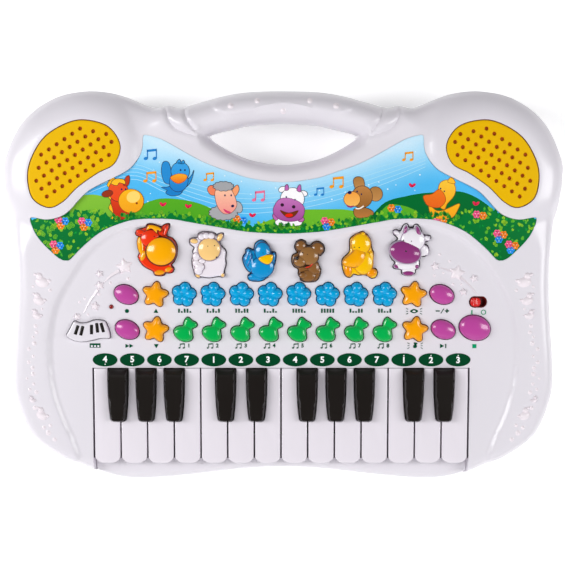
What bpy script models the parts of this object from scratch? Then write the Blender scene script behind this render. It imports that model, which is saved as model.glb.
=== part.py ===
"""Toy electronic keyboard: a two-shell casing with a carry handle, keys, buttons and electronics.

Millimetres below, metres in Blender. +Z is up, +X runs along the keys to the treble side, and the
player sits at -Y. Nearly everything is laid out in the deck frame, whose XY plane is the parting
plane between the two casings: it is tilted so that the rear stands higher than the front.
"""
import math

import bmesh
import bpy
from mathutils import Matrix

MM = 0.001

# Stance
DECK_TILT = math.radians(5.0)
DECK_HEIGHT = 25.0
DECK_SHIFT = 1.5            # brings the middle of the footprint to the origin
FLOOR = 1.5                 # underside of the lower casing; the moulded feet reach down to 0
FOOT_RADIUS = 7.0
FEET = [(150, 88), (-150, 88), (150, -96), (-150, -96), (0, -112)]

# Clearances and thicknesses
GAP = 0.3
WALL = 2.2
HOLE_GAP = 0.5

# Levels above the parting plane
FRAME_TOP = 20.0
PANEL_TOP = 17.5
POD_TOP = 24.0
HANDLE_TOP = 22.0
HANDLE_UNDERSIDE = -8.0
LIP_TOP = 6.0
PANEL_UNDERSIDE = PANEL_TOP - WALL
LABEL_THICKNESS = 0.5
GRILLE_THICKNESS = 2.0

# Half outline of the casing from the middle of the rear edge to the middle of the front edge
CASING_HALF = [
    (0, 143.9), (25.5, 143.1), (43.5, 140.4), (61.6, 135.7), (76.7, 131.9), (85, 133.5), (94, 131.6),
    (102.3, 133.9), (115.8, 139.4), (127.9, 142.5), (143, 143.4), (160.8, 140.7), (172.4, 136.1),
    (183.9, 128.5), (195.5, 115.2), (204.9, 93), (205.6, 81.3), (203.1, 57.2), (200.1, 33.1),
    (199, 0), (200.8, -33), (202.8, -58), (202.5, -81.5), (194.2, -106.3), (184.9, -118.5),
    (168, -130.4), (155.8, -135.6), (142, -141.9), (127, -146.6), (109.7, -148.2), (75.1, -146.1),
    (29, -140.9), (0, -139.8),
]
# Half outline of the recessed control panel, open past the front edge
RECESS_HALF = [
    (0, 33.8), (17.5, 34.6), (39.6, 37.1), (61.7, 41.2), (80.1, 44.5), (98.5, 45.2), (116.9, 41.9),
    (132.5, 34.2), (145.9, 22.4), (156.4, 7.6), (165.6, -8), (171, -23.6), (174, -47),
    (171.9, -73.9), (165.6, -96.5), (157.6, -115.5), (153.4, -130.7), (152, -155),
]
HANDLE_OPENING_HALF = [
    (0, 120.1), (23.3, 118.8), (38.3, 115.7), (49.6, 113.2), (55.4, 110.6), (53, 107.6),
    (38.4, 99), (23.3, 93.2), (0, 89.7),
]
HANDLE_CROWN_HALF = [
    (0, 139.8), (25, 139), (44, 136.2), (66, 130), (63, 117), (38, 120.3), (0, 124),
]
UNDER_HANDLE_X = 70.0       # half width of the finger space under the handle
UNDER_HANDLE_FRONT = 113.0
REAR = 160.0                # past the rear and the front of the casing, for cutters that run out of it
FRONT = -160.0
ABOVE = 30.0                # above and below everything in the deck frame
BELOW = -60.0
POD_OUTLINE = [
    (104.5, 110), (106.8, 95.5), (119.5, 82.4), (137.5, 73), (157.5, 55.4), (168.8, 49), (184, 49.5),
    (195, 54), (201.5, 66), (203, 81), (200, 98), (190, 117), (178, 129), (161, 138), (143, 140.3),
    (128, 138), (114, 131),
]
GRILLE_OUTLINE = [
    (143.7, 121.9), (127, 116.9), (118.7, 103.6), (123.2, 90.3), (135.9, 83.2), (150.2, 73.2),
    (160.9, 62.8), (171.5, 58.3), (183.1, 64.9), (186.6, 79.5), (183.8, 93.7), (173.9, 109.4),
    (157.9, 119.4),
]
PICTURE_HALF = [
    (0, 77), (23.3, 79.7), (38.1, 84.2), (64.2, 94.6), (90.2, 108.7), (102.1, 110.4), (105.2, 95.2),
    (118.5, 82.2), (136.4, 72.8), (156, 54.9), (168, 48.2), (184.5, 47.9), (178.7, 33.7),
    (168.7, 23.6), (160.3, 19.1), (148.2, 29.6), (134.6, 40.7), (119.3, 47.4), (105.6, 50.2),
    (83.1, 50.2), (38.1, 42.7), (0, 39.6),
]

# Speaker grille holes: a square lattice turned about the pod
GRILLE_PITCH = 6.85
GRILLE_TURN = math.radians(33.4)
GRILLE_FIRST_HOLE = (-147.7, 115.7)
GRILLE_ROWS = [(0, 5), (-1, 6), (-2, 7), (-2, 7), (-1, 7)]
GRILLE_HOLE_RADIUS = 1.55
SPEAKER_CENTRE = (154.0, 98.0)

# Keys
WHITE_KEYS = ["f1", "g1", "a1", "b1", "c2", "d2", "e2", "f2", "g2", "a2", "b2", "c3", "d3", "e3"]
BLACK_KEYS = {
    0: ("f1_sharp", -1.5), 1: ("g1_sharp", 0.0), 2: ("a1_sharp", 1.5),
    4: ("c2_sharp", -1.5), 5: ("d2_sharp", 1.5),
    7: ("f2_sharp", -1.5), 8: ("g2_sharp", 0.0), 9: ("a2_sharp", 1.5),
    11: ("c3_sharp", -1.5), 12: ("d3_sharp", 1.5),
}
KEY_PITCH = 20.0
KEYBED_X = -1.7
KEY_SPACE = 0.6
BAY_MARGIN = 0.4
WHITE_CORNER = 3.0          # size of the cut-off front corners
KEY_REAR = -61.5            # just in front of the edge of the panel
KEY_TAIL_REAR = -45.0
WHITE_FRONT = -133.1
BLACK_FRONT = -101.3
BLACK_HALF_REAR = 7.4
BLACK_HALF_FRONT = 5.7
BLACK_CORNER = 2.0
WHITE_TOP = 17.2
BLACK_TOP = 24.0
KEY_SKIRT = 10.8
KEY_WALL = 1.6
KEY_HOLLOW_TOP = 15.4
TAIL_TOP = 14.5
TAIL_BOTTOM = 5.5
PIVOT_Y = -49.0
PIVOT_W = 10.0
PIVOT_RADIUS = 1.5
PIVOT_BORE = PIVOT_RADIUS + 0.45
ROD_MOUNT = 5.0             # how far the rod's two blocks reach out from the key bay
KEY_PAD_TOP = 7.2
WHITE_PAD_Y = -108.0
BLACK_PAD_Y = -95.5
BAY_REAR = -61.0
BAY_SHELF = -129.5

# Buttons on the panel
BUTTON_TOP = 20.5
BUTTON_BOTTOM = 12.0
FLANGE = 1.2
ROW_1 = -6.1
ROW_2 = -32.3
STAR_TURN = math.radians(80)
DOME_TOP = 9.7
BAR_Y = 3.0                 # half width of the bar that carries a strip of caps
BAR_THICKNESS = 1.6
BOARD_BOTTOM = 3.0
BOARD_THICKNESS = 1.6
KEY_BOARD_BOTTOM = 0.8
LAMP_PLACE = (-127.6, -15.4)
LAMP_RADIUS = 1.6
SWITCH_PLACE = (144.4, -11.7)
SWITCH_SLOT = (13.6, 8.6)
SWITCH_TRAVEL = 4.0
SWITCH_BODY = (20.0, 12.0)
SWITCH_BODY_W = (5.0, 12.0)
KNOB = (7.6, 6.6)
KNOB_TOP = 19.5

# Battery compartment in the lower casing
BATTERY_PLACE = (0.0, 15.0)
BATTERY_SIZE = (58.0, 50.0, 17.0)
DOOR_MARGIN = 3.0
DOOR_THICKNESS = 2.0
CONTACT_LENGTH = 44.0
CONTACT_THICKNESS = 1.2

# Outlines of the shaped caps, about their own centres
HORSE = [
    (-15, 13), (-8, 16.3), (-5, 19.1), (3.5, 16.8), (9.9, 19.1), (7.6, 10), (14.2, 5), (14.8, -3),
    (10.6, -11), (12.4, -14.5), (6.4, -17), (2, -19.1), (-2, -17), (-10.7, -10.6), (-13.6, -5.3),
    (-13.4, 5.8),
]
SHEEP = [
    (-13.2, 11), (-7.5, 12.7), (-4.3, 16.6), (4.6, 16.2), (11.4, 15.9), (8.2, 9.5), (13.2, 2.7),
    (12, -16), (1, -16.9), (-7.5, -17), (-11.4, -7.6), (-10.6, 6),
]
BIRD = [
    (1.1, 15.1), (-4.1, 7.6), (-8.5, 9.2), (-12.1, 0.5), (-6.2, -9.1), (-8.2, -11.2), (-7, -15.1),
    (1.4, -14.8), (8.5, -8.7), (12.1, 1.9), (11.7, 5.8), (7.1, 10.5),
]
DOG = [
    (-5.3, 15.5), (-9.7, 11), (-7.9, 6.3), (-11.9, 1.5), (-10.3, -4.1), (-6.8, -6.5), (-6, -13.5),
    (0, -15.6), (6.8, -14), (8.9, -7), (6.8, 3.8), (11.7, 7.3), (9, 13.6), (1.8, 10.9), (-2.1, 14.1),
]
DUCK = [
    (1.7, 17.1), (-6, 13.2), (-7.3, 3.3), (-12.9, -4.5), (-11, -15.6), (-4.7, -14.6), (5.5, -15.2),
    (11.5, -17), (12.9, -11), (8.8, -9), (9.9, 1.8), (6.3, 13.2),
]
COW = [
    (-2.9, 19.1), (-7.9, 13.6), (-12.4, 13.9), (-9.3, 7.2), (-14.8, 1.5), (-13.8, -6), (-10.7, -9.2),
    (-11.5, -13.8), (-5.5, -15), (-1, -19.1), (3.8, -15), (7, -9), (12, -4.2), (10.5, 5),
    (14.9, 9), (8.5, 12.1), (3.5, 18.9), (0, 16.1),
]
NOTE = [
    (-8.5, -1.5), (-6.8, 1.7), (-1.5, 2.6), (0.1, 8), (2.4, 9), (8.7, 4.6), (4.8, 0.6), (5.2, -6.3),
    (1.4, -9), (-4.5, -7.5),
]
KEYBOARD_CAP = [
    (-12.4, 6.7), (-3, 5.4), (4, 7.6), (10, 6.7), (14, -5), (7.8, -5.6), (-7.9, -8.4), (-18, -4.5),
]
ANIMALS = [
    ("horse_button", HORSE, (-93.5, 27.1), (0.85, 0.12, 0.03)),
    ("sheep_button", SHEEP, (-55.7, 23.4), (0.86, 0.82, 0.78)),
    ("bird_button", BIRD, (-17.7, 19.1), (0.0, 0.28, 0.72)),
    ("dog_button", DOG, (18.3, 19.1), (0.30, 0.17, 0.07)),
    ("duck_button", DUCK, (56.5, 23.4), (0.95, 0.60, 0.0)),
    ("cow_button", COW, (93.7, 27.1), (0.88, 0.86, 0.88)),
]

WHITE_PLASTIC = (0.79, 0.75, 0.82)
YELLOW_PLASTIC = (0.82, 0.50, 0.0)
PURPLE_PLASTIC = (0.48, 0.07, 0.38)
STAR_PLASTIC = (1.0, 0.38, 0.0)
BLUE_PLASTIC = (0.0, 0.42, 0.85)
GREEN_PLASTIC = (0.0, 0.48, 0.07)
BLACK_PLASTIC = (0.012, 0.010, 0.010)
RED_PLASTIC = (0.62, 0.01, 0.01)
BOARD_GREEN = (0.02, 0.20, 0.06)
RUBBER_GREY = (0.18, 0.18, 0.19)
STEEL = (0.62, 0.62, 0.63)


# ---------------------------------------------------------------- outlines

def mirrored(half):
    """A closed outline from its right half, which starts and ends on the middle line."""
    return half + [(-x, y) for x, y in reversed(half[1:-1])]


def offset(outline, distance):
    """The outline moved outwards by distance, along the mean normal at each point."""
    count = len(outline)
    area = sum(outline[i][0] * outline[(i + 1) % count][1] - outline[(i + 1) % count][0] * outline[i][1]
               for i in range(count))
    side = 1 if area > 0 else -1
    moved = []
    for i, (x, y) in enumerate(outline):
        ax, ay = outline[i - 1]
        bx, by = outline[(i + 1) % count]
        ux, uy = unit(x - ax, y - ay)
        vx, vy = unit(bx - x, by - y)
        nx, ny = unit(uy + vy, -ux - vx)
        reach = side * distance / max(nx * uy - ny * ux, 0.55)
        moved.append((x + nx * reach, y + ny * reach))
    return moved


def unit(x, y):
    length = math.hypot(x, y) or 1.0
    return x / length, y / length


def shifted(outline, place):
    return [(x + place[0], y + place[1]) for x, y in outline]


def flipped(outline):
    return [(-x, y) for x, y in outline]


def rectangle(x0, x1, y0, y1):
    return [(x0, y0), (x1, y0), (x1, y1), (x0, y1)]


def centred_rectangle(width, height):
    return rectangle(-width / 2, width / 2, -height / 2, height / 2)


def ellipse(a, b, turn, count):
    points = []
    for i in range(count):
        t = 2 * math.pi * i / count
        x, y = a * math.cos(t), b * math.sin(t)
        points.append((x * math.cos(turn) - y * math.sin(turn), x * math.sin(turn) + y * math.cos(turn)))
    return points


def lobed(radius, depth, count, sharpness=1.0):
    """A five-lobed outline: a plump star at sharpness 1, a flower at about 0.5."""
    points = []
    for i in range(count):
        t = STAR_TURN + 2 * math.pi * i / count
        lobe = abs(math.cos(2.5 * (t - STAR_TURN))) ** (2 * sharpness)
        reach = radius - depth + depth * lobe
        points.append((reach * math.cos(t), reach * math.sin(t)))
    return points


# ---------------------------------------------------------------- objects

def new_object(name, mesh, collection):
    obj = bpy.data.objects.new(name, mesh)
    collection.objects.link(obj)
    obj.parent = DECK
    return obj


def mesh_from(bm, name):
    bmesh.ops.recalc_face_normals(bm, faces=bm.faces)
    bmesh.ops.scale(bm, vec=(MM, MM, MM), verts=bm.verts)
    mesh = bpy.data.meshes.new(name)
    bm.to_mesh(mesh)
    bm.free()
    return mesh


def loft(name, rings, collection):
    """A closed solid through rings with equal numbers of points, with a flat cap at each end."""
    bm = bmesh.new()
    loops = [[bm.verts.new(point) for point in ring] for ring in rings]
    count = len(loops[0])
    for lower, upper in zip(loops, loops[1:]):
        for i in range(count):
            j = (i + 1) % count
            bm.faces.new((lower[i], lower[j], upper[j], upper[i]))
    bm.faces.new(list(reversed(loops[0])))
    bm.faces.new(loops[-1])
    return new_object(name, mesh_from(bm, name), collection)


def level(outline, height):
    return [(x, y, height) for x, y in outline]


def prism(name, outline, low, high, collection):
    """A flat outline extruded from low to high along the deck's normal."""
    curve = bpy.data.curves.new(name, "CURVE")
    curve.dimensions = "2D"
    curve.fill_mode = "BOTH"
    curve.extrude = (high - low) / 2 * MM
    spline = curve.splines.new("POLY")
    spline.points.add(len(outline) - 1)
    for point, (x, y) in zip(spline.points, outline):
        point.co = (x * MM, y * MM, 0, 1)
    spline.use_cyclic_u = True
    guide = bpy.data.objects.new(name + "_outline", curve)
    collection.objects.link(guide)
    guide.location.z = (high + low) / 2 * MM
    bpy.context.view_layer.update()
    evaluated = guide.evaluated_get(bpy.context.evaluated_depsgraph_get())
    mesh = bpy.data.meshes.new_from_object(evaluated)
    mesh.name = name
    mesh.transform(guide.matrix_world)
    bpy.data.objects.remove(guide)
    bm = bmesh.new()
    bm.from_mesh(mesh)
    bmesh.ops.remove_doubles(bm, verts=bm.verts, dist=1e-6)
    bmesh.ops.recalc_face_normals(bm, faces=bm.faces)
    bm.to_mesh(mesh)
    bm.free()
    return new_object(name, mesh, collection)


def block(name, x, y, w, collection):
    """A box between the two ends of each of the ranges x, y and w."""
    centre = [(pair[0] + pair[1]) / 2 for pair in (x, y, w)]
    size = [pair[1] - pair[0] for pair in (x, y, w)]
    bm = bmesh.new()
    bmesh.ops.create_cube(bm, matrix=Matrix.Translation(centre) @ Matrix.Diagonal(size + [1]))
    return new_object(name, mesh_from(bm, name), collection)


def cylinder(name, place, radius, low, high, sides, collection, along_x=False):
    """A cylinder at place, from low to high along the deck's normal or along X."""
    if along_x:
        matrix = Matrix.Translation(((low + high) / 2, *place)) @ Matrix.Rotation(math.pi / 2, 4, "Y")
    else:
        matrix = Matrix.Translation((*place, (low + high) / 2))
    bm = bmesh.new()
    bmesh.ops.create_cone(
        bm, cap_ends=True, segments=sides, radius1=radius, radius2=radius, depth=high - low, matrix=matrix)
    return new_object(name, mesh_from(bm, name), collection)


def turned(name, place, profile, steps):
    """A solid of revolution about the deck's normal; the profile runs from the top down its outer side."""
    bm = bmesh.new()
    verts = [bm.verts.new((r, 0, w)) for r, w in profile]
    for a, b in zip(verts, verts[1:]):
        bm.edges.new((a, b))
    bmesh.ops.scale(bm, vec=(MM, MM, MM), verts=bm.verts)
    mesh = bpy.data.meshes.new(name)
    bm.to_mesh(mesh)
    bm.free()
    obj = new_object(name, mesh, PARTS)
    obj.location = (place[0] * MM, place[1] * MM, 0)
    screw = obj.modifiers.new("turn", "SCREW")
    screw.steps = steps
    screw.render_steps = steps
    screw.use_merge_vertices = True
    screw.merge_threshold = 1e-5
    return obj


def boolean(obj, other, operation="DIFFERENCE"):
    modifier = obj.modifiers.new(other.name, "BOOLEAN")
    modifier.operation = operation
    modifier.solver = "EXACT"
    modifier.object = other
    return obj


def tool(obj):
    """Marks an object as a cutter or a guide, which is not a piece."""
    obj.hide_render = True
    obj.display_type = "WIRE"
    return obj


def joined(name, objects, collection):
    """One object holding the meshes of several, which are removed."""
    bm = bmesh.new()
    for obj in objects:
        bm.from_mesh(obj.data)
    mesh = bpy.data.meshes.new(name)
    bm.to_mesh(mesh)
    bm.free()
    for obj in objects:
        bpy.data.objects.remove(obj)
    return new_object(name, mesh, collection)


def paint(obj, colour, roughness=0.35, metallic=0.0):
    material = bpy.data.materials.new(obj.name)
    material.use_nodes = True
    shader = material.node_tree.nodes["Principled BSDF"]
    shader.inputs["Base Color"].default_value = (*colour, 1)
    shader.inputs["Roughness"].default_value = roughness
    shader.inputs["Metallic"].default_value = metallic
    obj.data.materials.clear()
    obj.data.materials.append(material)
    return obj


def set_origin(obj, x, y, w):
    """Moves the object's origin to a point of the deck frame and leaves its shape where it is."""
    obj.data.transform(Matrix.Translation((-x * MM, -y * MM, -w * MM)))
    obj.location = (x * MM, y * MM, w * MM)
    return obj


def floor_level(x, y, height):
    """The deck-frame point above or below (x, y) that lies at a world height."""
    return (x, y, (height - DECK_HEIGHT - y * math.sin(DECK_TILT)) / math.cos(DECK_TILT))


# ---------------------------------------------------------------- casings

def casing_outline():
    return mirrored(CASING_HALF)


def handle_opening():
    return mirrored(HANDLE_OPENING_HALF)


def key_bay():
    half = KEY_PITCH * len(WHITE_KEYS) / 2 + BAY_MARGIN
    return KEYBED_X - half, KEYBED_X + half


def pods(name, outline, low, high):
    """A cutter for both speaker pods, from the right pod's outline."""
    pair = [prism(name, shape, low, high, CUTTERS) for shape in (outline, flipped(outline))]
    return tool(joined(name, pair, CUTTERS))


def upper_cavity():
    """The space inside the upper casing."""
    inner = offset(casing_outline(), -WALL)
    low_roof = FRAME_TOP - WALL
    left, right = key_bay()
    cavity = tool(loft("upper_cavity", [
        level(inner, -5), level(inner, 11.5), level(offset(inner, -4), low_roof)], CUTTERS))
    recess = offset(mirrored(RECESS_HALF), WALL)
    boolean(cavity, tool(prism("panel_wall", recess, PANEL_UNDERSIDE, FRAME_TOP, CUTTERS)))
    bay = rectangle(left - WALL, right + WALL, FRONT, BAY_REAR)
    boolean(cavity, tool(prism("bay_walls", bay, LIP_TOP - WALL, FRAME_TOP, CUTTERS)))
    opening = offset(handle_opening(), WALL)
    boolean(cavity, tool(prism("opening_wall", opening, -6, FRAME_TOP, CUTTERS)))
    return cavity


def upper_casing():
    outline = casing_outline()
    casing = loft("upper_casing", [
        level(outline, GAP / 2), level(outline, 12), level(offset(outline, -1.6), 17),
        level(offset(outline, -4.2), 19.3), level(offset(outline, -6.5), FRAME_TOP)], PARTS)
    left, right = key_bay()
    shape = mirrored(HANDLE_CROWN_HALF)
    crown = loft("handle_crown", [
        level(shape, 15), level(shape, FRAME_TOP), level(offset(shape, -3), HANDLE_TOP)], CUTTERS)
    boolean(casing, tool(crown), "UNION")
    pair = [loft("pod" + side, [
        level(shape, 15), level(shape, FRAME_TOP + 1), level(offset(shape, -1.5), POD_TOP - 1),
        level(offset(shape, -4), POD_TOP)], CUTTERS)
        for side, shape in (("_right", POD_OUTLINE), ("_left", flipped(POD_OUTLINE)))]
    boolean(casing, tool(joined("pods", pair, CUTTERS)), "UNION")
    boolean(casing, upper_cavity())
    pod_roof = POD_TOP - WALL - GRILLE_THICKNESS
    boolean(casing, pods("pod_space", offset(POD_OUTLINE, -5), 12, pod_roof))
    seat_floor = POD_TOP - GRILLE_THICKNESS - GAP
    boolean(casing, pods("grille_seats", offset(GRILLE_OUTLINE, GAP), seat_floor, ABOVE))
    boolean(casing, pods("grille_openings", offset(GRILLE_OUTLINE, -3), 10, ABOVE))
    recess = mirrored(RECESS_HALF)
    boolean(casing, tool(prism("panel_recess", recess, PANEL_TOP, ABOVE, CUTTERS)))
    over_lip = rectangle(left, right, FRONT, BAY_REAR)
    boolean(casing, tool(prism("bay_recess", over_lip, LIP_TOP, ABOVE, CUTTERS)))
    well = rectangle(left, right, BAY_SHELF, BAY_REAR)
    boolean(casing, tool(prism("bay_well", well, BELOW, ABOVE, CUTTERS)))
    boolean(casing, tool(prism("handle_hole", handle_opening(), BELOW, ABOVE, CUTTERS)))
    picture = offset(mirrored(PICTURE_HALF), GAP)
    label_floor = FRAME_TOP - LABEL_THICKNESS - GAP
    boolean(casing, tool(prism("picture_seat", picture, label_floor, ABOVE, CUTTERS)))
    boolean(casing, panel_holes())
    boolean(casing, rod_mounts(), "UNION")
    return paint(casing, WHITE_PLASTIC, 0.3)


def rod_mounts():
    """Two blocks under the panel, with blind bores for the ends of the key pivot rod."""
    left, right = key_bay()
    blocks = [block("rod_mount", side, (PIVOT_Y - 4, PIVOT_Y + 4), (5, PANEL_UNDERSIDE + 1), CUTTERS)
              for side in ((left - ROD_MOUNT, left + 0.1), (right - 0.1, right + ROD_MOUNT))]
    mounts = tool(joined("rod_mounts", blocks, CUTTERS))
    ends = (left - ROD_MOUNT + 2, right + ROD_MOUNT - 2)
    bore = cylinder("rod_bore", (PIVOT_Y, PIVOT_W), PIVOT_BORE, *ends, 8, CUTTERS, True)
    return boolean(mounts, tool(bore))


def panel_holes():
    """Everything that is cut through the control panel for a button, the lamp and the switch."""
    low = PANEL_UNDERSIDE - 3
    cutters = [prism("hole_" + name, offset(shifted(shape, place), HOLE_GAP), low, ABOVE, CUTTERS)
               for name, shape, place in all_caps()]
    lamp_hole = ellipse(LAMP_RADIUS + GAP, LAMP_RADIUS + GAP, 0, 10)
    cutters.append(prism("hole_lamp", shifted(lamp_hole, LAMP_PLACE), low, ABOVE, CUTTERS))
    slot = shifted(centred_rectangle(*SWITCH_SLOT), SWITCH_PLACE)
    cutters.append(prism("hole_switch", slot, low, ABOVE, CUTTERS))
    return tool(joined("panel_holes", cutters, CUTTERS))


def lower_casing():
    outline = casing_outline()
    casing = loft("lower_casing", [
        level(offset(outline, -0.4), -GAP / 2), level(offset(outline, -1.2), -7),
        [floor_level(x, y, 6.5) for x, y in offset(outline, -3)],
        [floor_level(x, y, 2.8) for x, y in offset(outline, -6)],
        [floor_level(x, y, FLOOR) for x, y in offset(outline, -9)]], PARTS)
    # The battery housing stands inside the cavity, and the handle has a floor of its own
    inner = offset(outline, -WALL - 1)
    cavity = tool(loft("lower_cavity", [
        level(inner, 5), level(inner, -6),
        [floor_level(x, y, FLOOR + WALL + 3) for x, y in offset(inner, -4)],
        [floor_level(x, y, FLOOR + WALL) for x, y in offset(inner, -7)]], CUTTERS))
    handle_wall = offset(handle_opening(), WALL)
    handle_floor = HANDLE_UNDERSIDE + WALL
    boolean(cavity, tool(prism("handle_floor", under_handle(WALL), BELOW, handle_floor, CUTTERS)))
    boolean(cavity, tool(prism("handle_wall", handle_wall, BELOW, 10, CUTTERS)))
    boolean(cavity, battery_box("battery_walls", WALL, FLOOR + DOOR_THICKNESS + BATTERY_SIZE[2] + WALL))
    boolean(cavity, battery_box("door_rim", DOOR_MARGIN + WALL, FLOOR + DOOR_THICKNESS + GAP + WALL))
    boolean(casing, cavity)
    boolean(casing, tool(prism("handle_clearance", under_handle(0), BELOW, HANDLE_UNDERSIDE, CUTTERS)))
    boolean(casing, tool(prism("handle_hole_lower", handle_opening(), BELOW, ABOVE, CUTTERS)))
    boolean(casing, battery_box("battery_space", 0, FLOOR + DOOR_THICKNESS + BATTERY_SIZE[2]))
    boolean(casing, battery_box("door_seat", DOOR_MARGIN, FLOOR + DOOR_THICKNESS + GAP))
    boolean(casing, tool(feet_and_posts()), "UNION")
    return paint(casing, WHITE_PLASTIC, 0.35)


def under_handle(margin):
    """Outline of the space under the handle, where a hand goes round it."""
    tip = max(HANDLE_OPENING_HALF)
    lower_edge = HANDLE_OPENING_HALF[HANDLE_OPENING_HALF.index(tip):]
    half = [(0, REAR), (UNDER_HANDLE_X, REAR), (UNDER_HANDLE_X, UNDER_HANDLE_FRONT)] + lower_edge
    return offset(mirrored(half), margin)


def battery_box(name, margin, top):
    """A box over the battery space, up to a world height, as a cutter."""
    x, y = BATTERY_PLACE
    half_x = BATTERY_SIZE[0] / 2 + margin
    half_y = BATTERY_SIZE[1] / 2 + margin
    box = block(name, (x - half_x, x + half_x), (y - half_y, y + half_y), (-5, top), CUTTERS)
    box.parent = None
    return tool(box)


def feet_and_posts():
    """Moulded feet below the floor, and posts under the two circuit boards."""
    pieces = []
    for x, y in FEET:
        foot = cylinder("foot", (x, y), FOOT_RADIUS, 0, FLOOR + 1, 16, CUTTERS)
        foot.data.transform(DECK.matrix_world.inverted())
        pieces.append(foot)
    board_posts = [(x, y, BOARD_BOTTOM) for x in (-118, 118) for y in (38, -38)]
    key_posts = [(x, -101, KEY_BOARD_BOTTOM) for x in (-125, 0, 125)]
    for x, y, top in board_posts + key_posts:
        foot_level = floor_level(x, y, FLOOR + 1)[2]
        pieces.append(cylinder("post", (x, y), 3.5, foot_level, top - GAP, 8, CUTTERS))
    return joined("feet_and_posts", pieces, CUTTERS)


def battery_door():
    """A flat cover set into the floor; it swings about its front edge, where its tabs are."""
    x, y = BATTERY_PLACE
    half_x = BATTERY_SIZE[0] / 2 + DOOR_MARGIN - GAP
    half_y = BATTERY_SIZE[1] / 2 + DOOR_MARGIN - GAP
    door = block("battery_door", (x - half_x, x + half_x), (y - half_y, y + half_y),
                 (FLOOR, FLOOR + DOOR_THICKNESS), PARTS)
    door.parent = None
    set_origin(door, x, y - half_y, FLOOR)
    return paint(door, WHITE_PLASTIC, 0.35)


def battery_contacts():
    """Two sprung steel plates, one against each end wall of the battery space."""
    x, y = BATTERY_PLACE
    top = FLOOR + DOOR_THICKNESS + BATTERY_SIZE[2]
    for name, side in (("battery_spring_contact", -1), ("battery_plate_contact", 1)):
        edge = x + side * (BATTERY_SIZE[0] / 2 - GAP)
        across = sorted((edge, edge - side * CONTACT_THICKNESS))
        along = (y - CONTACT_LENGTH / 2, y + CONTACT_LENGTH / 2)
        plate = block(name, across, along, (top - 14, top - 2), PARTS)
        plate.parent = None
        paint(plate, STEEL, 0.3, 1.0)


def picture_panel():
    floor = FRAME_TOP - LABEL_THICKNESS
    outline = offset(mirrored(PICTURE_HALF), -GAP)
    return paint(prism("picture_panel", outline, floor, FRAME_TOP, PARTS), (0.10, 0.42, 0.70), 0.3)


def speaker_grilles():
    for name, side in (("right_speaker_grille", 1), ("left_speaker_grille", -1)):
        outline = GRILLE_OUTLINE if side > 0 else flipped(GRILLE_OUTLINE)
        plate = prism(name, outline, POD_TOP - GRILLE_THICKNESS, POD_TOP, PARTS)
        holes = [cylinder("grille_hole", (-side * x, y), GRILLE_HOLE_RADIUS, 15, ABOVE, 4, CUTTERS)
                 for x, y in grille_holes()]
        boolean(plate, tool(joined(name + "_holes", holes, CUTTERS)))
        paint(plate, YELLOW_PLASTIC, 0.4)


def grille_holes():
    """Centres of the holes of the left grille."""
    along = (-math.cos(GRILLE_TURN) * GRILLE_PITCH, -math.sin(GRILLE_TURN) * GRILLE_PITCH)
    down = (math.sin(GRILLE_TURN) * GRILLE_PITCH, -math.cos(GRILLE_TURN) * GRILLE_PITCH)
    x, y = GRILLE_FIRST_HOLE
    return [(x + m * along[0] + n * down[0], y + m * along[1] + n * down[1])
            for n, (first, last) in enumerate(GRILLE_ROWS) for m in range(first, last + 1)]


def speakers():
    profile = [
        (0, 14.5), (9, 14.5), (20, 18.5), (25, 18.5), (25, 16), (21, 15), (13, 9), (13, 1), (0, 1),
    ]
    for name, side in (("right_speaker", 1), ("left_speaker", -1)):
        place = (side * SPEAKER_CENTRE[0], SPEAKER_CENTRE[1])
        paint(turned(name, place, profile, 14), (0.03, 0.03, 0.035), 0.5, 0.3)


# ---------------------------------------------------------------- keys

def white_centre(index):
    return KEYBED_X + (index - (len(WHITE_KEYS) - 1) / 2) * KEY_PITCH


def black_centre(index):
    return white_centre(index) + KEY_PITCH / 2 + BLACK_KEYS[index][1]


def white_plan(index):
    """Plan outline of a white key, notched for the black keys beside it, with rounded front corners."""
    x = white_centre(index)
    half = (KEY_PITCH - KEY_SPACE) / 2
    left, right = x - half, x + half
    cut = WHITE_CORNER * (1 - math.sqrt(0.5))
    corner = [(0, WHITE_CORNER), (cut, cut), (WHITE_CORNER, 0)]
    plan = [(left + along, WHITE_FRONT + up) for along, up in corner]
    plan += [(right - along, WHITE_FRONT + up) for along, up in reversed(corner)]
    front = BLACK_FRONT - HOLE_GAP
    if index in BLACK_KEYS:
        edge = black_centre(index)
        plan += [(right, front), (edge - BLACK_HALF_FRONT - HOLE_GAP, front)]
        right = edge - BLACK_HALF_REAR - HOLE_GAP
    plan.append((right, KEY_REAR))
    if index - 1 in BLACK_KEYS:
        edge = black_centre(index - 1)
        left = edge + BLACK_HALF_REAR + HOLE_GAP
        plan += [(left, KEY_REAR), (edge + BLACK_HALF_FRONT + HOLE_GAP, front), (x - half, front)]
    else:
        plan.append((left, KEY_REAR))
    return plan, left, right


def key_tail(name, left, right):
    """The bored block at the rear of a key that turns on the pivot rod."""
    along = (KEY_REAR - 3, KEY_TAIL_REAR)
    tail = block(name + "_tail", (left, right), along, (TAIL_BOTTOM, TAIL_TOP), CUTTERS)
    bore = cylinder(name + "_bore", (PIVOT_Y, PIVOT_W), PIVOT_BORE, left - 1, right + 1, 8, CUTTERS, True)
    return tool(tail), tool(bore)


def on_pivot(key, x):
    """Moves a key's origin to the pivot, with its cutters left where they are."""
    return set_origin(key, x, PIVOT_Y, PIVOT_W)


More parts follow.
